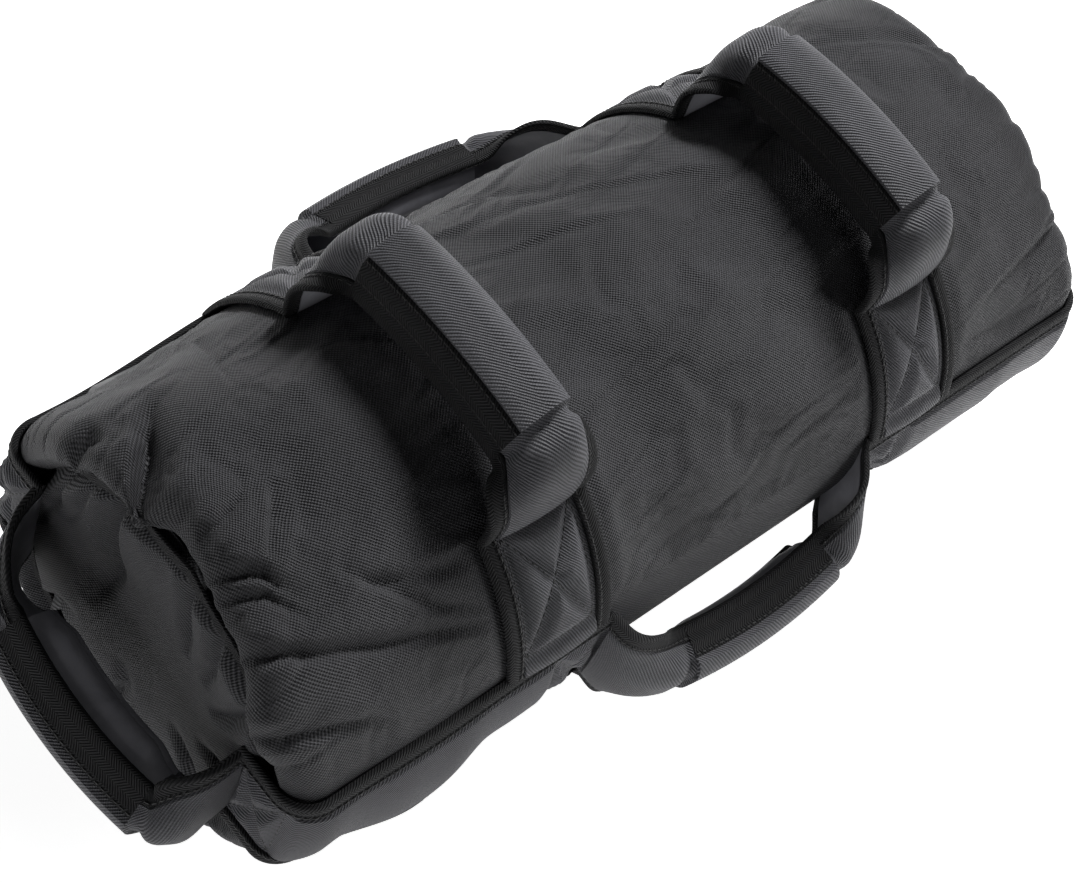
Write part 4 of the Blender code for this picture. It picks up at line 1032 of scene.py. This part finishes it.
def cloth_lift(x, distance, sizes):
    """How far the slack cloth stands off the skin: lumps of sand, gathers, folds and fine wrinkles."""
    from_end = HALF_LENGTH - np.abs(x)
    near_end = smooth_step(1 - from_end / GATHER_LENGTH)
    # The sand's lumps, in two sizes
    lift = 0.0018 * lumps(x, distance, 0.085, 0.075, 3) + 0.0012 * lumps(x, distance, 0.04, 0.045, 5)
    # Gathers, which wander as they run in from the left rim and differ in strength round it
    wander = 0.010 * lumps(x, distance, 0.03, 0.06, 8)
    folds = lumps(np.sign(x) * from_end * 0.35 + np.sign(x), distance + wander, 0.05, 0.027, 11)
    folds = folds * (0.6 + 0.4 * lumps(np.sign(x) + 0 * distance, distance, 0.5, 0.09, 12))
    lift = lift - sizes.gather_depth * (x < 0.05) * near_end ** 1.5 * np.clip(folds + 0.12, 0.0, 1.0)
    # Fine wrinkles on the slant, stronger towards the ends
    fine = 1 - np.abs(lumps(x + 0.4 * distance, distance - 0.25 * x, 0.055, 0.013, 17)) * 2.2
    lift = lift - sizes.crease_depth * (0.20 + 0.80 * near_end) * np.clip(fine, 0.0, 1.0) ** 3
    drawn = fold_lift(SHELL_FOLDS, x, np.mod(distance, GIRTH_LINE), 0.28)
    lift = lift + np.where(x < 0.17, FOLD_DEPTH, RIGHT_FOLD_DEPTH) * drawn + 0.0012
    return lift * (1 - strap_cover(x, distance))


def slump(x, distance):
    """How far the sand has bulged the bag or left it hollow, as the photograph shows."""
    depth, start, length = HIGH_SPOT
    low = 0.9 * bulge(x) * beside(distance, -0.035, 0.010, 0.066)
    back = hollow(x) * beside(distance, 0.345, 0.035, 0.08)
    high = depth * smooth_step((x - start) / length) * beside(distance, 0.29, 0.01, 0.06)
    return low - back + high


def lip_reach(x, distance):
    """How far the rim's lip stands past the skin's end, there and a little before it."""
    uneven = lumps(np.sign(x) + 0 * distance, distance, 0.5, 0.055, 14)
    reach = 0.005 * uneven * (1 - strap_cover(x * 0.9, distance))
    for table, end in ((np.array(RIM_LIP), x < 0), (np.array(RIGHT_LIP), x > 0)):
        reach = np.where(end & (distance < table[-1, 0]), np.interp(distance, table[:, 0], table[:, 1]), reach)
    return np.sign(x) * reach * smooth_step((np.abs(x) - HALF_LENGTH + 0.045) / 0.045)


def rim_profile(count):
    """How far past the skin's turn each rim row reaches, and how far inside the skin it lies."""
    turn = np.linspace(0.0, math.pi / 2, count)
    reach = RIM_RADIUS * np.sin(turn)
    inset = RIM_RADIUS * 0.8 * (1 - np.cos(turn))
    back = np.linspace(0.0, 1.0, count // 2 + 1)[1:]
    reach = np.concatenate([reach, RIM_RADIUS - 0.009 * back ** 1.4])
    inset = np.concatenate([inset, inset[-1] + (SEAM_INSET + 0.001 - inset[-1]) * back])
    return reach, inset


def shell_points(sizes):
    """Points of the shell, in rows from seam to seam and columns round the bag, and their UV map."""
    reach, inset = rim_profile(12)
    turn_start = HALF_LENGTH - RIM_RADIUS
    near_rim = np.arange(turn_start, turn_start - GATHER_LENGTH, -0.0020)[1:]
    middle = np.linspace(-near_rim[-1], near_rim[-1], 92)[1:-1]
    left = np.concatenate([-(turn_start + reach[::-1]), -near_rim])
    xs = np.concatenate([left, middle, -left[::-1]])
    turned_in = np.zeros(len(xs))
    turned_in[:len(inset)] = inset[::-1]
    turned_in[-len(inset):] = inset
    slot = np.linspace(ZIP_LINE - ZIP_SLOT_WIDTH / 2, ZIP_LINE + ZIP_SLOT_WIDTH / 2, 6)
    rest = np.linspace(slot[-1], slot[0] + GIRTH_LINE, 370)[1:]
    around_bag = np.concatenate([slot, rest])
    x, s = np.meshgrid(xs, around_bag, indexing="ij")
    inside = turned_in[:, None]
    reached = np.minimum(np.abs(x), HALF_LENGTH - 0.001) * np.sign(x)
    lift = cloth_lift(reached, s, sizes) * (1 - smooth_step((inside - 0.006) / 0.016) * 0.75)
    y, z = outline(s, lift - inside + slump(reached, s))
    z = np.maximum(z, 0.0)
    points = np.stack([x + lip_reach(x, np.mod(s, GIRTH_LINE)), y, z], -1)
    along = np.concatenate([[0.0], np.cumsum(np.hypot(np.diff(xs), np.diff(turned_in)))])
    uv = np.stack(np.broadcast_arrays(along[:, None], around_bag[None, :]), -1)
    return points, uv


def let_settle(piece, held):
    """Lets a piece's cloth swell and crease by simulation.

    Its held points stay still, and the others move no further than the cap.
    """
    mesh = piece.data
    before = np.empty(len(mesh.vertices) * 3)
    mesh.vertices.foreach_get("co", before)
    group = piece.vertex_groups.new(name="held")
    group.add([int(i) for i in np.nonzero(held)[0]], 1.0, "REPLACE")
    modifier = piece.modifiers.new("cloth", "CLOTH")
    cloth = modifier.settings
    cloth.quality = 4
    cloth.mass = 0.25
    cloth.tension_stiffness = cloth.compression_stiffness = SETTLE_STIFFNESS
    cloth.bending_stiffness = 0.08
    cloth.vertex_group_mass = group.name
    cloth.use_pressure = True
    cloth.uniform_pressure_force = SETTLE_PRESSURE
    cloth.shrink_min = -SETTLE_SLACK
    cloth.effector_weights.gravity = 0.0
    modifier.collision_settings.use_collision = False
    modifier.point_cache.frame_start = 1
    modifier.point_cache.frame_end = SETTLE_FRAMES
    scene = bpy.context.scene
    for number in range(1, SETTLE_FRAMES + 1):
        scene.frame_set(number)
    shape = piece.evaluated_get(bpy.context.evaluated_depsgraph_get()).data
    after = np.empty(len(shape.vertices) * 3)
    shape.vertices.foreach_get("co", after)
    piece.modifiers.remove(modifier)
    piece.vertex_groups.remove(group)
    scene.frame_set(1)
    move = (after - before).reshape(-1, 3)
    far = np.linalg.norm(move, axis=1, keepdims=True)
    move = move * np.minimum(1.0, SETTLE_CAP / np.maximum(far, 1e-9))
    mesh.vertices.foreach_set("co", (before.reshape(-1, 3) + move).ravel())
    mesh.update()


def cut_slot(shell):
    """Cuts the zip's slot out of the shell."""
    middle_y, middle_z = outline(ZIP_LINE, 0.0)
    slot = [abs(p.center.x) < ZIP_LENGTH / 2
            and math.hypot(p.center.y - middle_y, p.center.z - middle_z) < ZIP_SLOT_WIDTH / 2
            for p in shell.data.polygons]
    active(shell)
    bpy.ops.object.mode_set(mode="EDIT")
    bpy.ops.mesh.select_mode(type="FACE")
    bpy.ops.mesh.select_all(action="DESELECT")
    bpy.ops.object.mode_set(mode="OBJECT")
    shell.data.polygons.foreach_set("select", slot)
    bpy.ops.object.mode_set(mode="EDIT")
    bpy.ops.mesh.delete(type="FACE")
    bpy.ops.object.mode_set(mode="OBJECT")


def held_points(shell):
    """Which points lie under a strap, past the rims' seams, on the ground or beside the zip."""
    place = np.array([v.co for v in shell.data.vertices])
    middle = BAG_HEIGHT / 2
    bearing = np.arctan2(place[:, 2] - middle, -place[:, 1])
    table = np.arctan2(OUTLINE[:-1, 1] - middle, -OUTLINE[:-1, 0])
    order = np.argsort(table)
    distance = np.interp(bearing, table[order], DISTANCE[:-1][order], period=2 * math.pi)
    skin_y, skin_z = outline(distance, -SEAM_INSET + 0.004)
    held = strap_cover(place[:, 0], distance) > 0.6
    held |= np.hypot(place[:, 1], place[:, 2] - middle) < np.hypot(skin_y, skin_z - middle)
    held |= place[:, 2] < 0.002
    held |= (away_from(distance, ZIP_LINE) < 0.012) & (np.abs(place[:, 0]) < ZIP_LENGTH / 2 + 0.008)
    return held


class OBJECT_OT_sandbag_shell(bpy.types.Operator):
    """Makes the shell of coarse cloth, gathered at its rims and slit for the zip"""
    bl_idname = "object.sandbag_shell"
    bl_label = "Sandbag Shell"

    def execute(self, context):
        sizes, materials = context.scene.sandbag_sizes, material_set(context.scene)
        points, uv = shell_points(sizes)
        shell = cloth_grid("bag_cloth", points, uv, outward=(0, 0, BAG_HEIGHT / 2), crisp=70.0)
        cut_slot(shell)
        let_settle(shell, held_points(shell))
        apply_modifier(shell, "SOLIDIFY", thickness=SHELL_THICKNESS, offset=-1.0)
        dress(shell, materials["cloth"], "bag", ["body_shell"])
        for end, sign in ENDS.items():
            self.end_panel(end, sign, materials)
        return {"FINISHED"}

    def end_panel(self, end, sign, materials):
        """A slack round panel, sewn in the rim and gathered towards its seam."""
        around_bag = np.linspace(0.0, GIRTH_LINE, 301)
        y, z = outline(around_bag, slump(sign * HALF_LENGTH, around_bag) - SEAM_INSET)
        middle = BAG_HEIGHT / 2
        rows, uv = [], []
        shares = np.concatenate([np.linspace(0.0, PANEL_EDGE, 34), np.linspace(PANEL_EDGE, 1.0, 26)[1:]])
        for share in shares:
            ring_y, ring_z = y * (1 - share), middle + (z - middle) * (1 - share)
            edge = smooth_step(1 - share / PANEL_EDGE)
            pleats = lumps(np.full_like(around_bag, sign * 0.1), around_bag + 0.02 * share, 0.05, 0.026,
                           23 + sign)
            slack = lumps(ring_y * 2, ring_z * 2 + 0.2, 0.09, 0.10, 31 + sign)
            folds = fold_lift(PANEL_FOLDS, ring_y * -sign, ring_z)
            depth = (0.010 * smooth_step(1 - share / 0.12) + 0.010 * smooth_step((share - 0.1) / 0.9)
                     + 0.0028 * edge * np.clip(pleats, -0.6, 1.0) * smooth_step(share / 0.05)
                     + 0.0026 * slack * smooth_step(share / 0.1) - folds * smooth_step(share / 0.04))
            rows.append(np.stack([sign * (HALF_LENGTH - depth), ring_y, ring_z], 1))
            uv.append(np.stack([ring_y, ring_z], 1))
        piece = cloth_grid("end_cloth_" + end, np.array(rows), np.array(uv), outward=(0, 0, middle),
                           crisp=70.0)
        dress(piece, materials["cloth"], "bag", ["end_panel_" + end])


class OBJECT_OT_sandbag_bands(bpy.types.Operator):
    """Makes the sewn lengths of the top handles' straps, each with its box and cross of stitches"""
    bl_idname = "object.sandbag_bands"
    bl_label = "Sandbag Handle Bands"

    def execute(self, context):
        for end in ENDS:
            for side in SIDES:
                heights = np.linspace(GIRTH_TOP - 0.003, BAND_TOP, 44)
                run = Run([band_row(end, side, height) for height in heights])
                paths = box_paths(0.010, run.length - 0.003)
                make_strap("band_%s_%s" % (end, side), run, lambda row: TOP_PADDING, True, paths,
                           context.scene, "bag", ["handle_band_%s_%s" % (end, side)])
        return {"FINISHED"}


class OBJECT_OT_sandbag_girth(bpy.types.Operator):
    """Makes the padded strap round the bag, in its four sewn lengths"""
    bl_idname = "object.sandbag_girth"
    bl_label = "Sandbag Girth Strap"

    def execute(self, context):
        for end in ENDS:
            for side in SIDES:
                stretches = {"side": np.linspace(0.0, 1.0, 64)[:-1],
                             "corner": np.linspace(0.0, 1.0, 22)[:-1],
                             "end": np.linspace(0.0, 1.0, 14)}
                rows = [girth_row(end, side, stretch, part)
                        for stretch, parts in stretches.items() for part in parts]
                run = Run(rows)
                paths = box_paths(0.004, 0.034) + box_paths(run.length - 0.034, run.length - 0.004)
                wobble = lumps(np.linspace(-0.2, 0.2, len(rows)), np.zeros(len(rows)), 0.03, 0.3,
                               40 + 2 * ENDS[end] + SIDES[side])
                make_strap("girth_%s_%s" % (side, end), run, lambda row: GIRTH_PADDING + 0.0012 * wobble[row],
                           True, paths, context.scene, "bag", ["girth_strap_%s_%s" % (side, end)])
        return {"FINISHED"}


class OBJECT_OT_sandbag_handles(bpy.types.Operator):
    """Makes the six handles: flares that fold, grips that close, linings and sewn ends"""
    bl_idname = "object.sandbag_handles"
    bl_label = "Sandbag Handles"

    def execute(self, context):
        scene, materials = context.scene, material_set(context.scene)
        for name, (handle, flares) in HANDLES.items():
            top = name.startswith("top")
            padding = TOP_PADDING if top else GIRTH_PADDING
            for label, flip, root, normal in flares:
                run = Run([handle.flare_row(share, flip, root, normal)
                           for share in np.linspace(0.0, 1.0, FLARE_ROWS)])
                blend = ("bag", name, run.middle[0], run.middle[-1])
                crown = lambda row, padding=padding: padding * (1 - TAPERING * row / (FLARE_ROWS - 1))
                paths = [[(run.length - 0.004, -0.62), (run.length - 0.004, 0.62)]]
                make_strap("%s_flare_strap_%s" % (name, label), run, crown, False, paths, scene, None,
                           ["%s_flare_%s" % (name, label)], blend=blend)
                self.flare_lining("%s_flare_lining_%s" % (name, label), run, materials, blend)
            alongs = np.linspace(-GRIP_LENGTH / 2, GRIP_LENGTH / 2, GRIP_ROWS)
            run = Run([handle.grip_row(along) for along in alongs])
            wide = (TOP_GRIP_TAPE, BINDING_WIDTH) if top else (BINDING_WIDTH, GRIP_TAPE)
            valley = [[(0.0, line), (run.length, line)] for line in TOP_GRIP_LINES] if top else []
            pieces = make_strap(name + "_grip", run, lambda row, padding=padding: padding, False, valley, scene,
                                name, [name + "_cover"], bindings=wide)
            self.lining(name, handle, materials)
        return {"FINISHED"}

    def flare_lining(self, name, run, materials, blend):
        """The smooth cloth that backs a flare."""
        share = np.linspace(-0.80, 0.80, 25)
        loop = np.concatenate([share, share[::-1], share[:1]])
        high, low = np.full(len(share), -0.0002), np.full(len(share), -0.0013)
        lift = np.concatenate([high, low, high[:1]])
        piece = sweep(name, run, lambda row: (loop, lift))
        dress(piece, materials["lining"])
        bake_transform(piece)

    def lining(self, name, handle, materials):
        """The padded lining that fills a grip and swells past its bound edges."""
        places = np.linspace(-0.90, 0.90, 41)
        inside = folded(1.0, places, np.full_like(places, -0.0004), handle.open_side)
        bulge = np.linspace(0.0, 1.0, 21)[1:-1]
        span = inside[0] - inside[-1]
        out = np.array([span[1], -span[0]]) / np.linalg.norm(span)
        out = -out if out[1] > 0 else out
        rows, uv = [], []
        for along in np.linspace(-GRIP_LENGTH / 2 + 0.0006, GRIP_LENGTH / 2 - 0.0006, GRIP_ROWS):
            ease = 1 - TAPERING * smooth_step((abs(along) - GRIP_LENGTH / 2 + 0.02) / 0.02)
            swell = LINING_SWELL * ease * (END_SWELL if name.startswith("end") else 1.0)
            # A crease that crosses the lining on a slant
            crease = np.exp(-((bulge - 0.52 - along * 0.8) / 0.05) ** 2)
            arc = (inside[-1] + bulge[:, None] * span
                   + ((np.sin(math.pi * bulge) ** 0.7 - 0.22 * crease) * swell)[:, None] * out)
            section = np.concatenate([inside, arc, inside[:1]])
            rows.append(handle.grip_plane(along)(section))
            uv.append(np.stack([running(section), np.full(len(section), along)], 1))
        piece = cloth_grid(name + "_lining", np.array(rows), np.array(uv), filled=True, crisp=60.0)
        dress(piece, materials["lining"], name, [name + "_core"])


class OBJECT_OT_sandbag_zip(bpy.types.Operator):
    """Makes the zip's woven tapes and finishes its teeth, stops, slider and pull"""
    bl_idname = "object.sandbag_zip"
    bl_label = "Sandbag Zip"

    def execute(self, context):
        scene, materials = context.scene, material_set(context.scene)
        half = ZIP_LENGTH / 2 + ZIP_TAPE_OVERHANG
        xs = np.linspace(-half, half, 120)
        reach = np.linspace(*ZIP_TAPE_REACH, 15)
        loop = np.concatenate([reach, reach[::-1], reach[:1]])
        face = np.full(len(reach), -ZIP_TAPE_DEPTH)
        depth = np.concatenate([face, face - ZIP_TAPE_THICKNESS, face[:1]])
        clear_of_slider = smooth_step((loop - SLIDER_REACH) / 0.005)
        for label, sign in (("upper", -1), ("lower", 1)):
            x, around_bag = np.meshgrid(xs, ZIP_LINE + sign * loop, indexing="ij")
            y, z = outline(around_bag, depth + slump(x, around_bag) * clear_of_slider)
            points = np.stack([x, y, z], -1)
            uv = np.stack([np.stack([loop, np.full_like(loop, x)], 1) for x in xs])
            tape = cloth_grid("zip_cloth_" + label, points, uv, filled=True)
            dress(tape, materials["zip_tape"], "bag", ["zip_tape_" + label])
            # The seam that holds it to the shell
            line_x = np.linspace(-ZIP_LENGTH / 2, ZIP_LENGTH / 2, 160)
            around_bag = np.full_like(line_x, ZIP_LINE + sign * ZIP_SEAM)
            fallen = slump(line_x, around_bag)
            y, z = outline(around_bag, 0.0002 + fallen)
            out_y, out_z = outline(around_bag, 0.0022 + fallen)
            line = np.stack([line_x, y, z], 1)
            seam = sew("zip_stitches_" + label, [(line, np.stack([line_x, out_y, out_z], 1) - line)],
                       scene.sandbag_sizes, materials["thread"])
            dress(seam, materials["thread"], "bag")
        finishes = {"teeth_upper": "plastic", "teeth_lower": "plastic", "stop_left": "plastic",
                    "stop_right": "plastic", "slider": "metal", "pull": "metal"}
        for node, finish in finishes.items():
            for material_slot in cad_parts["zip_" + node].material_slots:
                material_slot.material = materials["zip_" + finish]
        return {"FINISHED"}


class OBJECT_OT_sandbag_inner_bags(bpy.types.Operator):
    """Makes the inner bags with their sand and closures, and the tapes over the rim seams"""
    bl_idname = "object.sandbag_inner_bags"
    bl_label = "Sandbag Inner Bags"

    def execute(self, context):
        materials = material_set(context.scene)
        for number in ("1", "2", "3"):
            self.softened("inner_bag_" + number, "filler_bag_" + number, materials["inner"],
                          "inner_cloth", 0.0005)
            self.softened("inner_sand_" + number, "sand_fill_" + number, materials["sand"],
                          "sand", 0.0005)
            self.softened("inner_closure_" + number, "filler_closure_" + number, materials["pile"],
                          "hook_and_loop", 0.0004)
        for end in ENDS:
            self.softened("rim_seam_tape_" + end, "seam_binding_" + end, materials["tape"],
                          "binding_tape", 0.0004)
        return {"FINISHED"}

    def softened(self, name, node, material, slot, bevel):
        """A copy of a solid with its edges bevelled and a UV map in metres."""
        piece = bpy.data.objects.new(name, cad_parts[node].data.copy())
        piece.data.name = name
        bpy.context.scene.collection.objects.link(piece)
        edit_all(piece, (bpy.ops.mesh.remove_doubles, {"threshold": 0.00001}),
                 (bpy.ops.mesh.dissolve_limited, {"angle_limit": math.radians(1.0)}))
        apply_modifier(piece, "BEVEL", width=bevel, segments=2, limit_method="ANGLE",
                       angle_limit=math.radians(60))
        edit_all(piece, (bpy.ops.uv.cube_project, {"cube_size": 1.0, "scale_to_bounds": False}))
        bpy.ops.object.shade_smooth_by_angle(angle=math.radians(40))
        dress(piece, material, "bag", [node])


# The stage

# Soft round lights: place, size and power
LIGHTS = {
    "key_light": ((1.16, 0.66, 1.58), 0.5, 47.0),
    "top_light": ((0.17, 0.0, 2.09), 1.0, 2.5),
    "side_light": ((1.34, -1.34, 0.72), 1.0, 14.5),
    "left_light": ((-1.95, -0.50, 0.36), 0.6, 7.5),
}
LIGHT_AIM = (0.0, 0.0, 0.1)
# The camera's turn, rise and roll in degrees, the point it looks at, its distance and its lens in mm
CAMERA_ANGLES = (-64.365, 52.860, 28.285)
CAMERA_AIM = (-0.035622, -0.013077, 0.089429)
CAMERA_DISTANCE = 1.200977
CAMERA_LENS = 73.92


class OBJECT_OT_sandbag_stage(bpy.types.Operator):
    """Makes the pale floor, the studio light and the camera"""
    bl_idname = "object.sandbag_stage"
    bl_label = "Sandbag Stage"

    def execute(self, context):
        scene = context.scene
        deselect()
        bpy.ops.mesh.primitive_plane_add(size=14.0, location=(0, 0, -0.0004))
        floor = bpy.context.object
        floor.name = "studio_floor"
        # Painted board, matt and white: it shows soft shadows and keeps white elsewhere
        material, tree, shader = new_material("matt_white_floor", scene.sandbag_colours.floor, 0.9)
        ray = add(tree, "ShaderNodeLightPath").outputs
        reflected = maths(tree, "MAXIMUM", ray["Is Glossy Ray"], ray["Is Transmission Ray"])
        seen = maths(tree, "MAXIMUM", ray["Is Camera Ray"], reflected)
        glow = add(tree, "ShaderNodeEmission", {"Color": (1, 1, 1, 1)},
                   {"Strength": maths(tree, "MULTIPLY", seen, 0.90)})
        both = add(tree, "ShaderNodeAddShader", (), {0: shader.outputs[0], 1: glow.outputs[0]})
        tree.links.new(both.outputs[0], tree.nodes["Material Output"].inputs["Surface"])
        floor.data.materials.append(material)
        world = scene.world or bpy.data.worlds.new("studio_world")
        scene.world = world
        world.use_nodes = True
        tree = world.node_tree
        background = tree.nodes["Background"].inputs
        background["Color"].default_value = (1.0, 1.0, 1.0, 1.0)
        seen = add(tree, "ShaderNodeLightPath").outputs["Is Camera Ray"]
        tree.links.new(maths(tree, "MAXIMUM", seen, 0.02), background["Strength"])
        for name, (place, size, power) in LIGHTS.items():
            self.soft_light(name, place, size, power)
        self.camera(scene)
        return {"FINISHED"}

    def soft_light(self, name, place, size, power):
        lamp = bpy.data.lights.new(name, "AREA")
        lamp.shape = "DISK"
        lamp.size, lamp.energy = size, power
        item = bpy.data.objects.new(name, lamp)
        item.location = place
        aim = Vector(LIGHT_AIM) - Vector(place)
        item.rotation_euler = aim.to_track_quat("-Z", "Y").to_euler()
        bpy.context.scene.collection.objects.link(item)

    def camera(self, scene):
        """The photograph's view: from the near left and above, rolled to the bag's slope."""
        turn, rise, roll = (math.radians(angle) for angle in CAMERA_ANGLES)
        back = Vector((math.sin(turn) * math.cos(rise), -math.cos(turn) * math.cos(rise), math.sin(rise)))
        level = (-back).cross(Vector((0, 0, 1))).normalized()
        upright = level.cross(-back)
        right = level * math.cos(roll) + upright * math.sin(roll)
        up = upright * math.cos(roll) - level * math.sin(roll)
        data = bpy.data.cameras.new("camera")
        data.sensor_fit, data.sensor_width, data.lens = "HORIZONTAL", 36.0, CAMERA_LENS
        camera = bpy.data.objects.new("camera", data)
        place = Vector(CAMERA_AIM) + back * CAMERA_DISTANCE
        axes = Matrix((right, up, back)).transposed()
        camera.matrix_world = Matrix.Translation(place) @ axes.to_4x4()
        scene.collection.objects.link(camera)
        scene.camera = camera
        scene.view_settings.view_transform = "Standard"


class VIEW3D_PT_sandbag(bpy.types.Panel):
    """Lists the bag's sizes, colours and pieces"""
    bl_label = "Sandbag Trainer"
    bl_space_type = "VIEW_3D"
    bl_region_type = "UI"
    bl_category = "Sandbag"

    def draw(self, context):
        for settings in (context.scene.sandbag_sizes, context.scene.sandbag_colours):
            for key in settings.__annotations__:
                self.layout.prop(settings, key)
        for operator in OPERATORS:
            self.layout.operator(operator.bl_idname)


OPERATORS = (OBJECT_OT_sandbag_stage, OBJECT_OT_sandbag_shell, OBJECT_OT_sandbag_bands, OBJECT_OT_sandbag_girth,
             OBJECT_OT_sandbag_handles, OBJECT_OT_sandbag_zip, OBJECT_OT_sandbag_inner_bags)
CLASSES = (SandbagSizes, SandbagColours, *OPERATORS, VIEW3D_PT_sandbag)


def register():
    for item in CLASSES:
        bpy.utils.register_class(item)
    bpy.types.Scene.sandbag_sizes = bpy.props.PointerProperty(type=SandbagSizes)
    bpy.types.Scene.sandbag_colours = bpy.props.PointerProperty(type=SandbagColours)


def unregister():
    del bpy.types.Scene.sandbag_colours
    del bpy.types.Scene.sandbag_sizes
    for item in reversed(CLASSES):
        bpy.utils.unregister_class(item)


def main():
    register()
    bpy.ops.object.sandbag_stage()
    bpy.ops.object.sandbag_shell()
    bpy.ops.object.sandbag_bands()
    bpy.ops.object.sandbag_girth()
    bpy.ops.object.sandbag_handles()
    bpy.ops.object.sandbag_zip()
    bpy.ops.object.sandbag_inner_bags()


if __name__ == "__main__":
    main()
